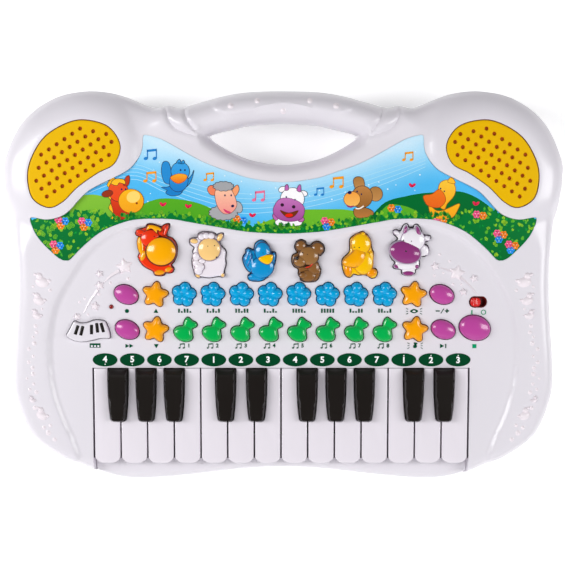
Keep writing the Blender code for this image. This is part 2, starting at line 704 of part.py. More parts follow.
def white_key(index):
    name = "white_key_" + WHITE_KEYS[index]
    plan, left, right = white_plan(index)
    x = white_centre(index)
    half = (KEY_PITCH - KEY_SPACE) / 2 - KEY_WALL
    key = prism(name, plan, KEY_SKIRT, WHITE_TOP, PARTS)
    # The key is hollow in front of and behind the rib that presses its rubber pad
    height = (TAIL_BOTTOM, KEY_HOLLOW_TOP)
    before = (WHITE_FRONT + WHITE_CORNER, WHITE_PAD_Y - 1.2)
    behind = (WHITE_PAD_Y + 8, KEY_REAR - 3 - GAP)
    hollows = [
        block("hollow", (x - half, x + half), before, height, CUTTERS),
        block("hollow", (left + KEY_WALL, right - KEY_WALL), behind, height, CUTTERS),
    ]
    boolean(key, tool(joined(name + "_hollow", hollows, CUTTERS)))
    tail, bore = key_tail(name, left, right)
    boolean(key, tail, "UNION")
    boolean(key, bore)
    on_pivot(key, x)
    return paint(key, WHITE_PLASTIC, 0.25)


def black_outline(x, inset, rear_bevel):
    """Plan outline of a black key, narrower by inset at its sides, with its front corners cut off."""
    rear = KEY_REAR - rear_bevel
    front = BLACK_FRONT + 1.8 * inset
    wide = BLACK_HALF_REAR - 1.7 * inset
    narrow = BLACK_HALF_FRONT - inset
    half = [(wide, rear), (narrow, front + BLACK_CORNER), (narrow - BLACK_CORNER, front)]
    return shifted([(-px, py) for px, py in half] + half[::-1], (x, 0))


def black_key(index):
    name = "black_key_" + BLACK_KEYS[index][0]
    x = black_centre(index)
    skirt = black_outline(x, 0, 0)
    key = loft(name, [
        level(skirt, KEY_SKIRT), level(skirt, WHITE_TOP), level(black_outline(x, 1, 5), BLACK_TOP)], PARTS)
    half = BLACK_HALF_FRONT - KEY_WALL
    behind = (BLACK_PAD_Y + 4, KEY_REAR - 3 - GAP)
    boolean(key, tool(block(name + "_hollow", (x - half, x + half), behind, (TAIL_BOTTOM, 21), CUTTERS)))
    tail, bore = key_tail(name, x - BLACK_HALF_REAR + GAP, x + BLACK_HALF_REAR - GAP)
    boolean(key, tail, "UNION")
    boolean(key, bore)
    on_pivot(key, x)
    return paint(key, BLACK_PLASTIC, 0.2)


def pivot_rod():
    left, right = key_bay()
    ends = (left - ROD_MOUNT / 2, right + ROD_MOUNT / 2)
    rod = cylinder("key_pivot_rod", (PIVOT_Y, PIVOT_W), PIVOT_RADIUS, *ends, 8, PARTS, True)
    return paint(rod, STEEL, 0.25, 1.0)


def key_electronics():
    left, right = key_bay()
    board = block("key_circuit_board", (left + 2, right - 2), (-114, -89),
                  (KEY_BOARD_BOTTOM, KEY_BOARD_BOTTOM + BOARD_THICKNESS), PARTS)
    paint(board, BOARD_GREEN, 0.4)
    low = KEY_BOARD_BOTTOM + BOARD_THICKNESS + GAP
    strip = block("key_contact_strip", (left + 4, right - 4), (-113, -90), (low, low + 1), PARTS)
    pads = [(white_centre(i), WHITE_PAD_Y) for i in range(len(WHITE_KEYS))]
    pads += [(black_centre(i), BLACK_PAD_Y) for i in BLACK_KEYS]
    domes = [block("pad", (x - 2.5, x + 2.5), (y - 2.5, y + 2.5), (low + 0.5, KEY_PAD_TOP), CUTTERS)
             for x, y in pads]
    boolean(strip, tool(joined("key_pads", domes, CUTTERS)), "UNION")
    paint(strip, RUBBER_GREY, 0.7)


# ---------------------------------------------------------------- buttons

def flower_places():
    return [(-73.6 + 21.2 * i, ROW_1) for i in range(8)]


def note_places():
    return [(-72.7 + 21.15 * i, ROW_2) for i in range(8)]


def single_caps():
    """Name, outline, place and colour of each button that is a piece of its own."""
    oval = ellipse(9.1, 6.8, math.radians(-22), 12)
    star = lobed(9.6, 3.4, 10)
    stop = ellipse(11.6, 9.2, math.radians(-15), 12)
    caps = [
        ("record_button", oval, (-116.4, ROW_1), PURPLE_PLASTIC),
        ("replay_button", oval, (-115.9, ROW_2), PURPLE_PLASTIC),
        ("volume_button", oval, (117.5, ROW_1), PURPLE_PLASTIC),
        ("demo_button", oval, (118.8, ROW_2), PURPLE_PLASTIC),
        ("tempo_up_button", star, (-94.9, ROW_1), STAR_PLASTIC),
        ("tempo_down_button", star, (-94.9, ROW_2), STAR_PLASTIC),
        ("voice_button", star, (96.3, ROW_1), STAR_PLASTIC),
        ("clap_button", star, (97.7, ROW_2), STAR_PLASTIC),
        ("stop_button", stop, (142.2, -31.0), PURPLE_PLASTIC),
        ("piano_button", KEYBOARD_CAP, (-142.6, -33.0), WHITE_PLASTIC),
    ]
    return caps + [(name, shape, place, colour) for name, shape, place, colour in ANIMALS]


def flower():
    return lobed(8.75, 1.9, 20, 0.5)


def all_caps():
    """Name, outline and place of every cap that comes through the panel."""
    caps = [(name, shape, place) for name, shape, place, _ in single_caps()]
    caps += [("flower_%d" % i, flower(), place) for i, place in enumerate(flower_places())]
    caps += [("note_%d" % i, NOTE, place) for i, place in enumerate(note_places())]
    return caps


def cap(name, outline, place, collection):
    """A button cap with a flange that holds it under the panel."""
    shape = shifted(outline, place)
    wide = offset(shape, FLANGE)
    return loft(name, [
        level(wide, BUTTON_BOTTOM), level(wide, PANEL_UNDERSIDE - GAP),
        level(shape, PANEL_UNDERSIDE - GAP), level(shape, BUTTON_TOP)], collection)


def button_caps():
    for name, outline, place, colour in single_caps():
        button = cap(name, outline, place, PARTS)
        set_origin(button, *place, BUTTON_BOTTOM)
        paint(button, colour, 0.2)


def cap_strip(name, outline, places, colour):
    """A row of caps moulded on one carrier bar, which runs under the panel."""
    caps = [cap("cap", outline, place, CUTTERS) for place in places]
    y = places[0][1]
    low = BUTTON_BOTTOM + 0.2
    strip = block(name, (places[0][0] - 2, places[-1][0] + 2), (y - BAR_Y, y + BAR_Y),
                  (low, low + BAR_THICKNESS), PARTS)
    boolean(strip, tool(joined(name + "_caps", caps, CUTTERS)), "UNION")
    return paint(strip, colour, 0.2)


def lamp():
    low = PANEL_UNDERSIDE - GAP
    profile = [
        (0, PANEL_TOP + 1.0), (LAMP_RADIUS * 0.75, PANEL_TOP + 0.5), (LAMP_RADIUS, PANEL_TOP - 0.4),
        (LAMP_RADIUS, low), (LAMP_RADIUS + 0.6, low), (LAMP_RADIUS + 0.6, low - 6), (0, low - 6),
    ]
    return paint(turned("record_lamp", LAMP_PLACE, profile, 12), (0.22, 0.01, 0.005), 0.15)


def power_switch():
    """A slide switch body on the board, and the knob that slides on it in the panel's slot."""
    x, y = SWITCH_PLACE
    half_x, half_y = SWITCH_BODY[0] / 2, SWITCH_BODY[1] / 2
    body = block("power_switch_body", (x - half_x, x + half_x), (y - half_y, y + half_y),
                 SWITCH_BODY_W, PARTS)
    paint(body, (0.15, 0.005, 0.005), 0.5)
    knob_x = x - SWITCH_TRAVEL / 2
    base = SWITCH_BODY_W[1] + GAP
    half_x, half_y = KNOB[0] / 2, KNOB[1] / 2
    knob = block("power_switch_knob", (knob_x - half_x, knob_x + half_x), (y - half_y, y + half_y),
                 (base, KNOB_TOP), PARTS)
    bevel = knob.modifiers.new("rounding", "BEVEL")
    bevel.width = 0.8 * MM
    bevel.segments = 2
    set_origin(knob, knob_x, y, base)
    paint(knob, RED_PLASTIC, 0.3)


def main_electronics():
    top = BOARD_BOTTOM + BOARD_THICKNESS
    board = block("main_circuit_board", (-156, 156), (-42, 44), (BOARD_BOTTOM, top), PARTS)
    paint(board, BOARD_GREEN, 0.4)
    low = top + GAP
    # The sheet is a wide T: it leaves the lamp and the switch clear
    outline = [(-155, -41), (155, -41), (155, -21), (128, -21)]
    outline += [(128, 43), (-122, 43), (-122, -21), (-155, -21)]
    sheet = prism("button_contact_sheet", outline, low, low + 1, PARTS)
    domes = [cylinder("dome", place, 3.0, low + 0.5, DOME_TOP, 4, CUTTERS) for _, _, place in all_caps()]
    boolean(sheet, tool(joined("button_domes", domes, CUTTERS)), "UNION")
    paint(sheet, RUBBER_GREY, 0.7)


def new_collection(name):
    collection = bpy.data.collections.new(name)
    bpy.context.scene.collection.children.link(collection)
    return collection


def deck_frame():
    empty = bpy.data.objects.new("deck", None)
    PARTS.objects.link(empty)
    empty.location = (0, DECK_SHIFT * MM, DECK_HEIGHT * MM)
    empty.rotation_euler.x = DECK_TILT
    bpy.context.view_layer.update()
    return empty


for old in list(bpy.data.objects):
    bpy.data.objects.remove(old, do_unlink=True)

PARTS = new_collection("toy_keyboard")
CUTTERS = new_collection("cutters")
DECK = deck_frame()

upper_casing()
lower_casing()
battery_door()
battery_contacts()
picture_panel()
speaker_grilles()
speakers()
for key_index in range(len(WHITE_KEYS)):
    white_key(key_index)
for key_index in BLACK_KEYS:
    black_key(key_index)
pivot_rod()
key_electronics()
main_electronics()
button_caps()
cap_strip("rhythm_button_strip", flower(), flower_places(), BLUE_PLASTIC)
cap_strip("song_button_strip", NOTE, note_places(), GREEN_PLASTIC)
lamp()
power_switch()
bpy.context.view_layer.update()
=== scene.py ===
"""Looks of the toy electronic keyboard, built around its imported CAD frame.

Shapes are laid out in millimetres in the deck frame, whose XY plane is the parting plane between
the two casings, and are turned into world metres as each mesh is made.
"""
import math
import random

import bmesh
import bpy
import numpy as np
from mathutils import Matrix, Vector
from mathutils.geometry import delaunay_2d_cdt, tessellate_polygon
from mathutils.kdtree import KDTree


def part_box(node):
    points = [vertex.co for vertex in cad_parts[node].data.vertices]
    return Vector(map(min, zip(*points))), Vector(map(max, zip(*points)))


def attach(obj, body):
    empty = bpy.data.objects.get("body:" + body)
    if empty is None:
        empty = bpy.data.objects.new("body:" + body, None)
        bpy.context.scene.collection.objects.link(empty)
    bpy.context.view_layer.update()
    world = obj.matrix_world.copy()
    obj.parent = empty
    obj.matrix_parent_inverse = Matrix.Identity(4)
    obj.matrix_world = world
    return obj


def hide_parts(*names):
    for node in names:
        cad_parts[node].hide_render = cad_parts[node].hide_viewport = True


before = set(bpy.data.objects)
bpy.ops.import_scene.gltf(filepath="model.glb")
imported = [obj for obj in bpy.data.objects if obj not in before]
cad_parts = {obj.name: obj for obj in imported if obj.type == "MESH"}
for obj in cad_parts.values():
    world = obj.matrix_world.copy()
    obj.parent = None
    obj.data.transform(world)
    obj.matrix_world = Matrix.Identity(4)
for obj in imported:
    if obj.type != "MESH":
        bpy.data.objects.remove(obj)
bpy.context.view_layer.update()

MM = 0.001
DECK_TILT = math.radians(5.0)
DECK_HEIGHT = 25.0
DECK_SHIFT = 1.5
DECK = (Matrix.Translation((0, DECK_SHIFT * MM, DECK_HEIGHT * MM)) @ Matrix.Rotation(DECK_TILT, 4, "X")
        @ Matrix.Diagonal((MM, MM, MM, 1)))
WORLD_MM = Matrix.Diagonal((MM, MM, MM, 1))
GAP = 0.3
HOLE_GAP = 0.7

PARTING = 0.15
RIM = 5.0                   # height at which the casing's wall starts to round over
FRAME_TOP = 20.0
PANEL_TOP = 17.5
POD_TOP = 24.0
LIP_TOP = 6.0
LABEL_TOP = 19.9
CAVITY_ROOF = 15.3
MOUTH_WALL = 7.0            # thickness round the handle opening, where the skin rounds over
BUTTON_BASE = 12.0
BAY_REAR = -61.0
BAY_SHELF = -129.5
KEY_PITCH = 20.0
KEYBED_X = -1.7
KEY_COUNT = 14
FLOOR = 1.5

CASING_HALF = [
    (0, 143.9), (25.5, 143.1), (43.5, 140.4), (61.6, 135.7), (76.7, 131.9), (85, 133.5), (94, 131.6),
    (102.3, 133.9), (115.8, 139.4), (127.9, 142.5), (143, 143.4), (160.8, 140.7), (172.4, 136.1),
    (183.9, 128.5), (195.5, 115.2), (204.9, 93), (205.6, 81.3), (203.1, 57.2), (200.1, 33.1),
    (199, 0), (200.8, -33), (202.8, -58), (202.5, -81.5), (194.2, -106.3), (184.9, -118.5),
    (168, -130.4), (155.8, -135.6), (142, -141.9), (127, -146.6), (109.7, -148.2), (75.1, -146.1),
    (29, -140.9), (0, -139.8),
]
RECESS_HALF = [
    (0, 33.8), (17.5, 34.6), (39.6, 37.1), (61.7, 41.2), (80.1, 44.5), (98.5, 45.2), (116.9, 41.9),
    (132.5, 34.2), (145.9, 22.4), (156.4, 7.6), (165.6, -8), (171, -23.6), (174, -47),
    (171.9, -73.9), (165.6, -96.5), (157.6, -115.5), (153.4, -130.7), (152, -155),
]
OPENING_HALF = [
    (0, 120.1), (23.3, 118.8), (38.3, 115.7), (49.6, 113.2), (55.4, 110.6), (53, 107.6),
    (38.4, 99), (23.3, 93.2), (0, 89.7),
]
GRILLE = [
    (143.7, 121.9), (127, 116.9), (118.7, 103.6), (123.2, 90.3), (135.9, 83.2), (150.2, 73.2),
    (160.9, 62.8), (171.5, 58.3), (183.1, 64.9), (186.6, 79.5), (183.8, 93.7), (173.9, 109.4),
    (157.9, 119.4),
]
PICTURE_HALF = [
    (0, 77), (23.3, 79.7), (38.1, 84.2), (53, 89.4), (64.2, 94.6), (82.8, 105), (90.2, 108.7),
    (97.7, 110.9), (102.3, 110.6), (103, 102.5), (105.4, 95.6), (111.2, 87.9), (118.6, 82.9),
    (136.6, 74.1), (144.3, 69.3), (150.9, 62.7), (156, 57), (161.2, 52.9), (168, 50.4),
    (175, 49.7), (185.6, 50.9), (184.2, 42.8), (178.7, 33.7), (168.7, 23.6), (163.6, 19.9),
    (160.3, 19.1), (156.8, 20.2), (148.2, 28.9), (134.6, 40), (119.3, 46.7), (105.6, 49.6),
    (83.1, 49.6), (68.1, 47.2), (38.1, 42), (23.1, 40), (0, 38.9),
]
GRILLE_PITCH = 6.85
GRILLE_TURN = math.radians(33.4)
GRILLE_FIRST_HOLE = (-147.7, 115.7)
GRILLE_ROWS = [(0, 5), (-1, 6), (-2, 7), (-2, 7), (-1, 7)]
GRILLE_HOLE_RADIUS = 1.5


# ---------------------------------------------------------------- plane geometry

def span(points, steps):
    """Catmull-Rom points from the second of four points up to, but not at, the third."""
    (ax, ay), (bx, by), (cx, cy), (dx, dy) = points
    result = []
    for step in range(steps):
        t = step / steps
        k = ((-t + 2 * t * t - t ** 3) / 2, (2 - 5 * t * t + 3 * t ** 3) / 2,
             (t + 4 * t * t - 3 * t ** 3) / 2, (-t * t + t ** 3) / 2)
        result.append((k[0] * ax + k[1] * bx + k[2] * cx + k[3] * dx,
                       k[0] * ay + k[1] * by + k[2] * cy + k[3] * dy))
    return result


def smooth(points, steps=6):
    """A smooth closed curve through the points."""
    count = len(points)
    curve = []
    for i in range(count):
        curve += span([points[(i + k - 1) % count] for k in range(4)], steps)
    return curve


def smooth_path(points, steps=6):
    """A smooth open curve through the points."""
    padded = [points[0]] + list(points) + [points[-1]]
    curve = []
    for i in range(len(points) - 1):
        curve += span(padded[i:i + 4], steps)
    return curve + [points[-1]]


def symmetric(half, steps=6):
    """A smooth closed outline from its right half, level where it crosses the middle line."""
    ends = [(-half[1][0], half[1][1])] + list(half) + [(-half[-2][0], half[-2][1])]
    right = []
    for i in range(len(half) - 1):
        right += span(ends[i:i + 4], steps)
    right.append(half[-1])
    return right + [(-x, y) for x, y in reversed(right[1:-1])]


def unit(x, y):
    length = math.hypot(x, y) or 1.0
    return x / length, y / length


def area(outline):
    count = len(outline)
    return sum(outline[i][0] * outline[(i + 1) % count][1] - outline[(i + 1) % count][0] * outline[i][1]
               for i in range(count)) / 2


def anticlockwise(outline):
    return list(outline) if area(outline) > 0 else list(outline)[::-1]


def offset(outline, distance):
    """The outline moved outwards by distance, along the mean normal at each point."""
    count = len(outline)
    side = 1 if area(outline) > 0 else -1
    moved = []
    for i, (x, y) in enumerate(outline):
        ax, ay = outline[i - 1]
        bx, by = outline[(i + 1) % count]
        ux, uy = unit(x - ax, y - ay)
        vx, vy = unit(bx - x, by - y)
        nx, ny = unit(uy + vy, -ux - vx)
        reach = side * distance / max(nx * uy - ny * ux, 0.5)
        moved.append((x + nx * reach, y + ny * reach))
    return moved


def clear_offset(outline, distance):
    """The outline moved outwards, without the points that fold back in its hollows."""
    moved = offset(outline, distance)
    return [p for p, gap in zip(moved, to_outline(moved, outline)) if gap > 0.96 * distance]


def shifted(outline, place):
    return [(x + place[0], y + place[1]) for x, y in outline]


def flipped(outline):
    return [(-x, y) for x, y in outline]


def turned(outline, angle):
    c, s = math.cos(angle), math.sin(angle)
    return [(x * c - y * s, x * s + y * c) for x, y in outline]


def rectangle(x0, x1, y0, y1):
    return [(x0, y0), (x1, y0), (x1, y1), (x0, y1)]


def rounded_rectangle(width, height, radius, steps=5):
    outline = []
    for k, (sx, sy) in enumerate(((1, 1), (-1, 1), (-1, -1), (1, -1))):
        for step in range(steps + 1):
            t = (k + step / steps) * math.pi / 2
            outline.append((sx * (width / 2 - radius) + radius * math.cos(t),
                            sy * (height / 2 - radius) + radius * math.sin(t)))
    return outline


def ellipse(a, b, turn=0.0, count=40, centre=(0, 0)):
    points = [(a * math.cos(2 * math.pi * i / count), b * math.sin(2 * math.pi * i / count))
              for i in range(count)]
    return shifted(turned(points, turn), centre)


def stroke(points, width):
    """A ribbon of the given width along a path."""
    left, right = [], []
    for i, (x, y) in enumerate(points):
        ax, ay = points[max(i - 1, 0)]
        bx, by = points[min(i + 1, len(points) - 1)]
        ux, uy = unit(bx - ax, by - ay)
        left.append((x - uy * width / 2, y + ux * width / 2))
        right.append((x + uy * width / 2, y - ux * width / 2))
    return left + right[::-1]


def to_outline(points, outline):
    """Distance from each point to the nearest side of a closed outline."""
    starts = np.array(outline)
    return to_segments(points, starts, np.roll(starts, -1, axis=0))


def to_path(points, path):
    line = np.array(path)
    return to_segments(points, line[:-1], line[1:])


def to_segments(points, starts, ends):
    points = np.asarray(points, float)
    along = ends - starts
    length = np.maximum((along ** 2).sum(1), 1e-12)
    best = np.empty(len(points))
    for low in range(0, len(points), 3000):
        chunk = points[low:low + 3000, None, :]
        t = np.clip(((chunk - starts) * along).sum(2) / length, 0, 1)
        best[low:low + 3000] = np.sqrt(((chunk - starts - t[..., None] * along) ** 2).sum(2).min(1))
    return best


def within(points, outline):
    points = np.asarray(points, float)
    ax, ay = np.array(outline).T
    bx, by = np.roll(ax, -1), np.roll(ay, -1)
    flags = np.zeros(len(points), bool)
    for low in range(0, len(points), 3000):
        x = points[low:low + 3000, 0:1]
        y = points[low:low + 3000, 1:2]
        crosses = (ay > y) != (by > y)
        with np.errstate(divide="ignore", invalid="ignore"):
            at = ax + (y - ay) * (bx - ax) / (by - ay)
        flags[low:low + 3000] = (crosses & (x < at)).sum(1) % 2 == 1
    return flags


def depth_in(points, outline):
    """Distance to the outline, positive inside it and negative outside."""
    distance = to_outline(points, outline)
    return np.where(within(points, outline), distance, -distance)


def ease(value, low, high):
    t = np.clip((np.asarray(value, float) - low) / (high - low), 0, 1)
    return t * t * (3 - 2 * t)


def round_over(depth, radius):
    """0 at an edge and 1 from radius inwards, as a quarter circle."""
    t = np.clip(np.asarray(depth, float) / radius, 0, 1)
    return np.sqrt(1 - (1 - t) ** 2)


# ---------------------------------------------------------------- meshes

def add_mesh(name, verts, faces, matrix=DECK, sharp=35.0):
    mesh = bpy.data.meshes.new(name)
    mesh.from_pydata([matrix @ Vector(v) for v in verts], [], faces)
    return add_object(name, mesh, sharp)


def add_object(name, mesh, sharp=35.0):
    bm = bmesh.new()
    bm.from_mesh(mesh)
    bmesh.ops.remove_doubles(bm, verts=bm.verts, dist=1e-7)
    bmesh.ops.recalc_face_normals(bm, faces=bm.faces)
    bm.to_mesh(mesh)
    bm.free()
    mesh.shade_smooth()
    mesh.set_sharp_from_angle(angle=math.radians(sharp))
    obj = bpy.data.objects.new(name, mesh)
    bpy.context.scene.collection.objects.link(obj)
    return obj


def loft(name, rings, matrix=DECK, sharp=35.0):
    """A closed solid through rings with equal numbers of points."""
    count = len(rings[0])
    verts = [point for ring in rings for point in ring]
    faces = []
    for k in range(len(rings) - 1):
        for i in range(count):
            j = (i + 1) % count
            faces.append((k * count + i, k * count + j, (k + 1) * count + j, (k + 1) * count + i))
    flat = [[Vector((x, y, 0)) for x, y, _ in ring] for ring in (rings[0], rings[-1])]
    last = (len(rings) - 1) * count
    faces += [tuple(reversed(tri)) for tri in tessellate_polygon([flat[0]])]
    faces += [tuple(last + i for i in tri) for tri in tessellate_polygon([flat[1]])]
    return add_mesh(name, verts, faces, matrix, sharp)


def level(outline, height):
    return [(x, y, height) for x, y in outline]


def prism(name, outline, low, high, matrix=DECK):
    return loft(name, [level(outline, low), level(outline, high)], matrix)


def softened(name, outline, low, high, radius=0.6, steps=3, matrix=DECK):
    """A flat piece with its upper edge rounded over."""
    rings = [level(outline, low)]
    for step in range(steps + 1):
        t = step / steps * math.pi / 2
        rings.append(level(offset(outline, -radius * (1 - math.cos(t))), high - radius * (1 - math.sin(t))))
    return loft(name, rings, matrix)


def revolved(name, profile, place, steps=32, matrix=DECK):
    """A solid of revolution from (radius, height) points that start and end on the axis."""
    verts = [(place[0], place[1], profile[0][1])]
    for radius, height in profile[1:-1]:
        for i in range(steps):
            t = 2 * math.pi * i / steps
            verts.append((place[0] + radius * math.cos(t), place[1] + radius * math.sin(t), height))
    verts.append((place[0], place[1], profile[-1][1]))
    faces = []
    rows = len(profile) - 2
    for i in range(steps):
        j = (i + 1) % steps
        faces.append((0, 1 + j, 1 + i))
        for k in range(rows - 1):
            a, b = 1 + k * steps, 1 + (k + 1) * steps
            faces.append((a + i, a + j, b + j, b + i))
        end = 1 + (rows - 1) * steps
        faces.append((len(verts) - 1, end + i, end + j))
    return add_mesh(name, verts, faces, matrix)


def triangulated(points, loops):
    """Triangles over the first closed loop and outside the others, using all the points."""
    coords = []
    constraints = []
    for loop in loops:
        row = []
        for point in loop:
            row.append(len(coords))
            coords.append(point)
        constraints.append(row)
    coords += [tuple(p) for p in points]
    edges = [(row[i], row[(i + 1) % len(row)]) for row in constraints[1:] for i in range(len(row))]
    result = delaunay_2d_cdt([Vector(p) for p in coords], edges, [constraints[0]], 1, 1e-5)
    verts = [(v.x, v.y) for v in result[0]]
    faces = [tuple(f) for f in result[2]]
    for loop in loops[1:]:
        centres = np.array([[sum(verts[i][k] for i in f) / 3 for k in (0, 1)] for f in faces])
        faces = [f for f, hidden in zip(faces, within(centres, loop)) if not hidden]
    return verts, faces


def raised(name, outline, base, height, insets=(), spacing=None, extra=(), holes=(), sharp=35.0):
    """A closed solid over an outline, with a flat base and a top whose height is a function of the place."""
    loops = [outline] + list(holes)
    points = [p for p in extra]
    for inset in insets:
        for loop, side in [(outline, -1)] + [(hole, 1) for hole in holes]:
            points += offset(loop, side * inset)
    points = np.array(points).reshape(-1, 2)
    keep = within(points, outline) if len(points) else np.zeros(0, bool)
    for loop in loops:
        if len(points):
            keep &= to_outline(points, loop) > min(insets or (0.2,)) * 0.7
    for hole in holes:
        keep &= ~within(points, hole)
    points = points[keep]
    points = thinned(points, 0.35 * (spacing or 1.0) if extra else 0.12)
    if spacing:
        xs, ys = zip(*outline)
        grid = np.array([(x, y) for x in np.arange(min(xs), max(xs), spacing)
                         for y in np.arange(min(ys), max(ys), spacing)])
        grid = grid[within(grid, outline)]
        for loop in loops:
            grid = grid[to_outline(grid, loop) > spacing * 0.7]
        for hole in holes:
            grid = grid[~within(grid, hole)]
        if len(points):
            grid = grid[nearest(grid, points) > spacing * 0.6]
        points = np.vstack([points, grid])
    verts, faces = triangulated(points, loops)
    heights = height(np.array(verts))
    return walled(name, verts, faces, heights, base, sharp)


def walled(name, verts, faces, heights, base, sharp=35.0, matrix=DECK):
    """Closes a triangulated top with walls and a flat base."""
    count = len(verts)
    solid = [(x, y, h) for (x, y), h in zip(verts, heights)] + [(x, y, base) for x, y in verts]
    sides = set()
    for f in faces:
        for i in range(3):
            sides.add((f[i], f[(i + 1) % 3]))
    rim = [edge for edge in sides if (edge[1], edge[0]) not in sides]
    shell = list(faces) + [tuple(i + count for i in reversed(f)) for f in faces]
    shell += [(b, a, a + count, b + count) for a, b in rim]
    return add_mesh(name, solid, shell, matrix, sharp)


def nearest(points, others):
    tree = KDTree(len(others))
    for i, (x, y) in enumerate(others):
        tree.insert((x, y, 0), i)
    tree.balance()
    return np.array([tree.find((x, y, 0))[2] for x, y in points]) if len(points) else np.zeros(0)


def thinned(points, gap):
    """Drops points that lie within gap of an earlier one."""
    kept, cells = [], {}
    for x, y in points:
        cell = (int(x // gap), int(y // gap))
        near = [p for i in (-1, 0, 1) for j in (-1, 0, 1) for p in cells.get((cell[0] + i, cell[1] + j), ())]
        if all((x - a) ** 2 + (y - b) ** 2 > gap * gap for a, b in near):
            kept.append((x, y))
            cells.setdefault(cell, []).append((x, y))
    return np.array(kept).reshape(-1, 2)


def closed(obj):
    """Whether every edge of the mesh joins exactly two faces."""
    bm = bmesh.new()
    bm.from_mesh(obj.data)
    result = all(edge.is_manifold for edge in bm.edges)
    bm.free()
    return result


def combine(obj, others, operation="DIFFERENCE"):
    """Applies Booleans with the other objects, which are used up."""
    solver = "MANIFOLD" if all(closed(item) for item in [obj] + others) else "EXACT"
    for other in others:
        modifier = obj.modifiers.new("cut", "BOOLEAN")
        modifier.operation = operation
        modifier.solver = solver
        modifier.object = other
    bpy.context.view_layer.update()
    evaluated = obj.evaluated_get(bpy.context.evaluated_depsgraph_get())
    mesh = bpy.data.meshes.new_from_object(evaluated)
    obj.modifiers.clear()
    obj.data = mesh
    mesh.shade_smooth()
    mesh.set_sharp_from_angle(angle=math.radians(35))
    for other in others:
        bpy.data.objects.remove(other)
    return obj


def merged(name, objects):
    """One object with the meshes and materials of several."""
    bm = bmesh.new()
    materials = []
    for obj in objects:
        for slot in obj.data.materials:
            if slot not in materials:
                materials.append(slot)
        start = len(bm.faces)
        bm.from_mesh(obj.data)
        bm.faces.ensure_lookup_table()
        own = list(obj.data.materials)
        for face in bm.faces[start:]:
            face.material_index = materials.index(own[face.material_index]) if own else 0
    mesh = bpy.data.meshes.new(name)
    bm.to_mesh(mesh)
    bm.free()
    for material in materials:
        mesh.materials.append(material)
    for obj in objects:
        bpy.data.objects.remove(obj)
    mesh.set_sharp_from_angle(angle=math.radians(35))
    result = bpy.data.objects.new(name, mesh)
    bpy.context.scene.collection.objects.link(result)
    return result


# ---------------------------------------------------------------- materials

def linear(r, g, b):
    """Scene-linear colour from 0 to 255 display values."""
    return tuple(((c / 255 + 0.055) / 1.055) ** 2.4 if c > 10 else c / 255 / 12.92 for c in (r, g, b))


def material(name):
    result = bpy.data.materials.new(name)
    result.use_nodes = True
    return result, result.node_tree.nodes, result.node_tree.links, result.node_tree.nodes["Principled BSDF"]


def moulded(name, colour, roughness=0.28, coat=0.25, mottle=0.03, grain=0.015, grain_size=2600.0,
            metallic=0.0, specular=0.5):
    """Moulded plastic: faint flow marks in the colour, a fine surface grain and uneven gloss."""
    result, nodes, links, shader = material(name)
    place = nodes.new("ShaderNodeTexCoord")
    flow = nodes.new("ShaderNodeTexNoise")
    flow.inputs["Scale"].default_value = 22.0
    flow.inputs["Detail"].default_value = 3.0
    links.new(place.outputs["Object"], flow.inputs["Vector"])
    tone = nodes.new("ShaderNodeMixRGB")
    tone.inputs["Color1"].default_value = (*[c * (1 - mottle) for c in colour], 1)
    tone.inputs["Color2"].default_value = (*[min(c * (1 + mottle), 1) for c in colour], 1)
    links.new(flow.outputs["Fac"], tone.inputs["Fac"])
    links.new(tone.outputs["Color"], shader.inputs["Base Color"])
    gloss = nodes.new("ShaderNodeMapRange")
    gloss.inputs["To Min"].default_value = roughness * 0.85
    gloss.inputs["To Max"].default_value = roughness * 1.15
    links.new(flow.outputs["Fac"], gloss.inputs["Value"])
    links.new(gloss.outputs["Result"], shader.inputs["Roughness"])
    fine = nodes.new("ShaderNodeTexNoise")
    fine.inputs["Scale"].default_value = grain_size
    links.new(place.outputs["Object"], fine.inputs["Vector"])
    bump = nodes.new("ShaderNodeBump")
    bump.inputs["Strength"].default_value = grain
    bump.inputs["Distance"].default_value = 0.0002
    links.new(fine.outputs["Fac"], bump.inputs["Height"])
    links.new(bump.outputs["Normal"], shader.inputs["Normal"])
    shader.inputs["Coat Weight"].default_value = coat
    shader.inputs["Coat Roughness"].default_value = 0.08
    shader.inputs["Metallic"].default_value = metallic
    shader.inputs["Specular IOR Level"].default_value = specular
    return result


def printed(name, roughness=0.3):
    """Ink on the surface, with its colours held by the mesh."""
    result, nodes, links, shader = material(name)
    tint = nodes.new("ShaderNodeAttribute")
    tint.attribute_name = "ink"
    place = nodes.new("ShaderNodeTexCoord")
    speckle = nodes.new("ShaderNodeTexNoise")
    speckle.inputs["Scale"].default_value = 900.0
    links.new(place.outputs["Object"], speckle.inputs["Vector"])
    span_node = nodes.new("ShaderNodeMapRange")
    span_node.inputs["To Min"].default_value = 0.95
    span_node.inputs["To Max"].default_value = 1.05
    links.new(speckle.outputs["Fac"], span_node.inputs["Value"])
    shade = nodes.new("ShaderNodeVectorMath")
    shade.operation = "SCALE"
    links.new(tint.outputs["Color"], shade.inputs[0])
    links.new(span_node.outputs["Result"], shade.inputs["Scale"])
    links.new(shade.outputs["Vector"], shader.inputs["Base Color"])
    shader.inputs["Roughness"].default_value = roughness
    shader.inputs["Specular IOR Level"].default_value = 0.22
    return result


def wear(obj, mat):
    obj.data.materials.clear()
    obj.data.materials.append(mat)
    return obj


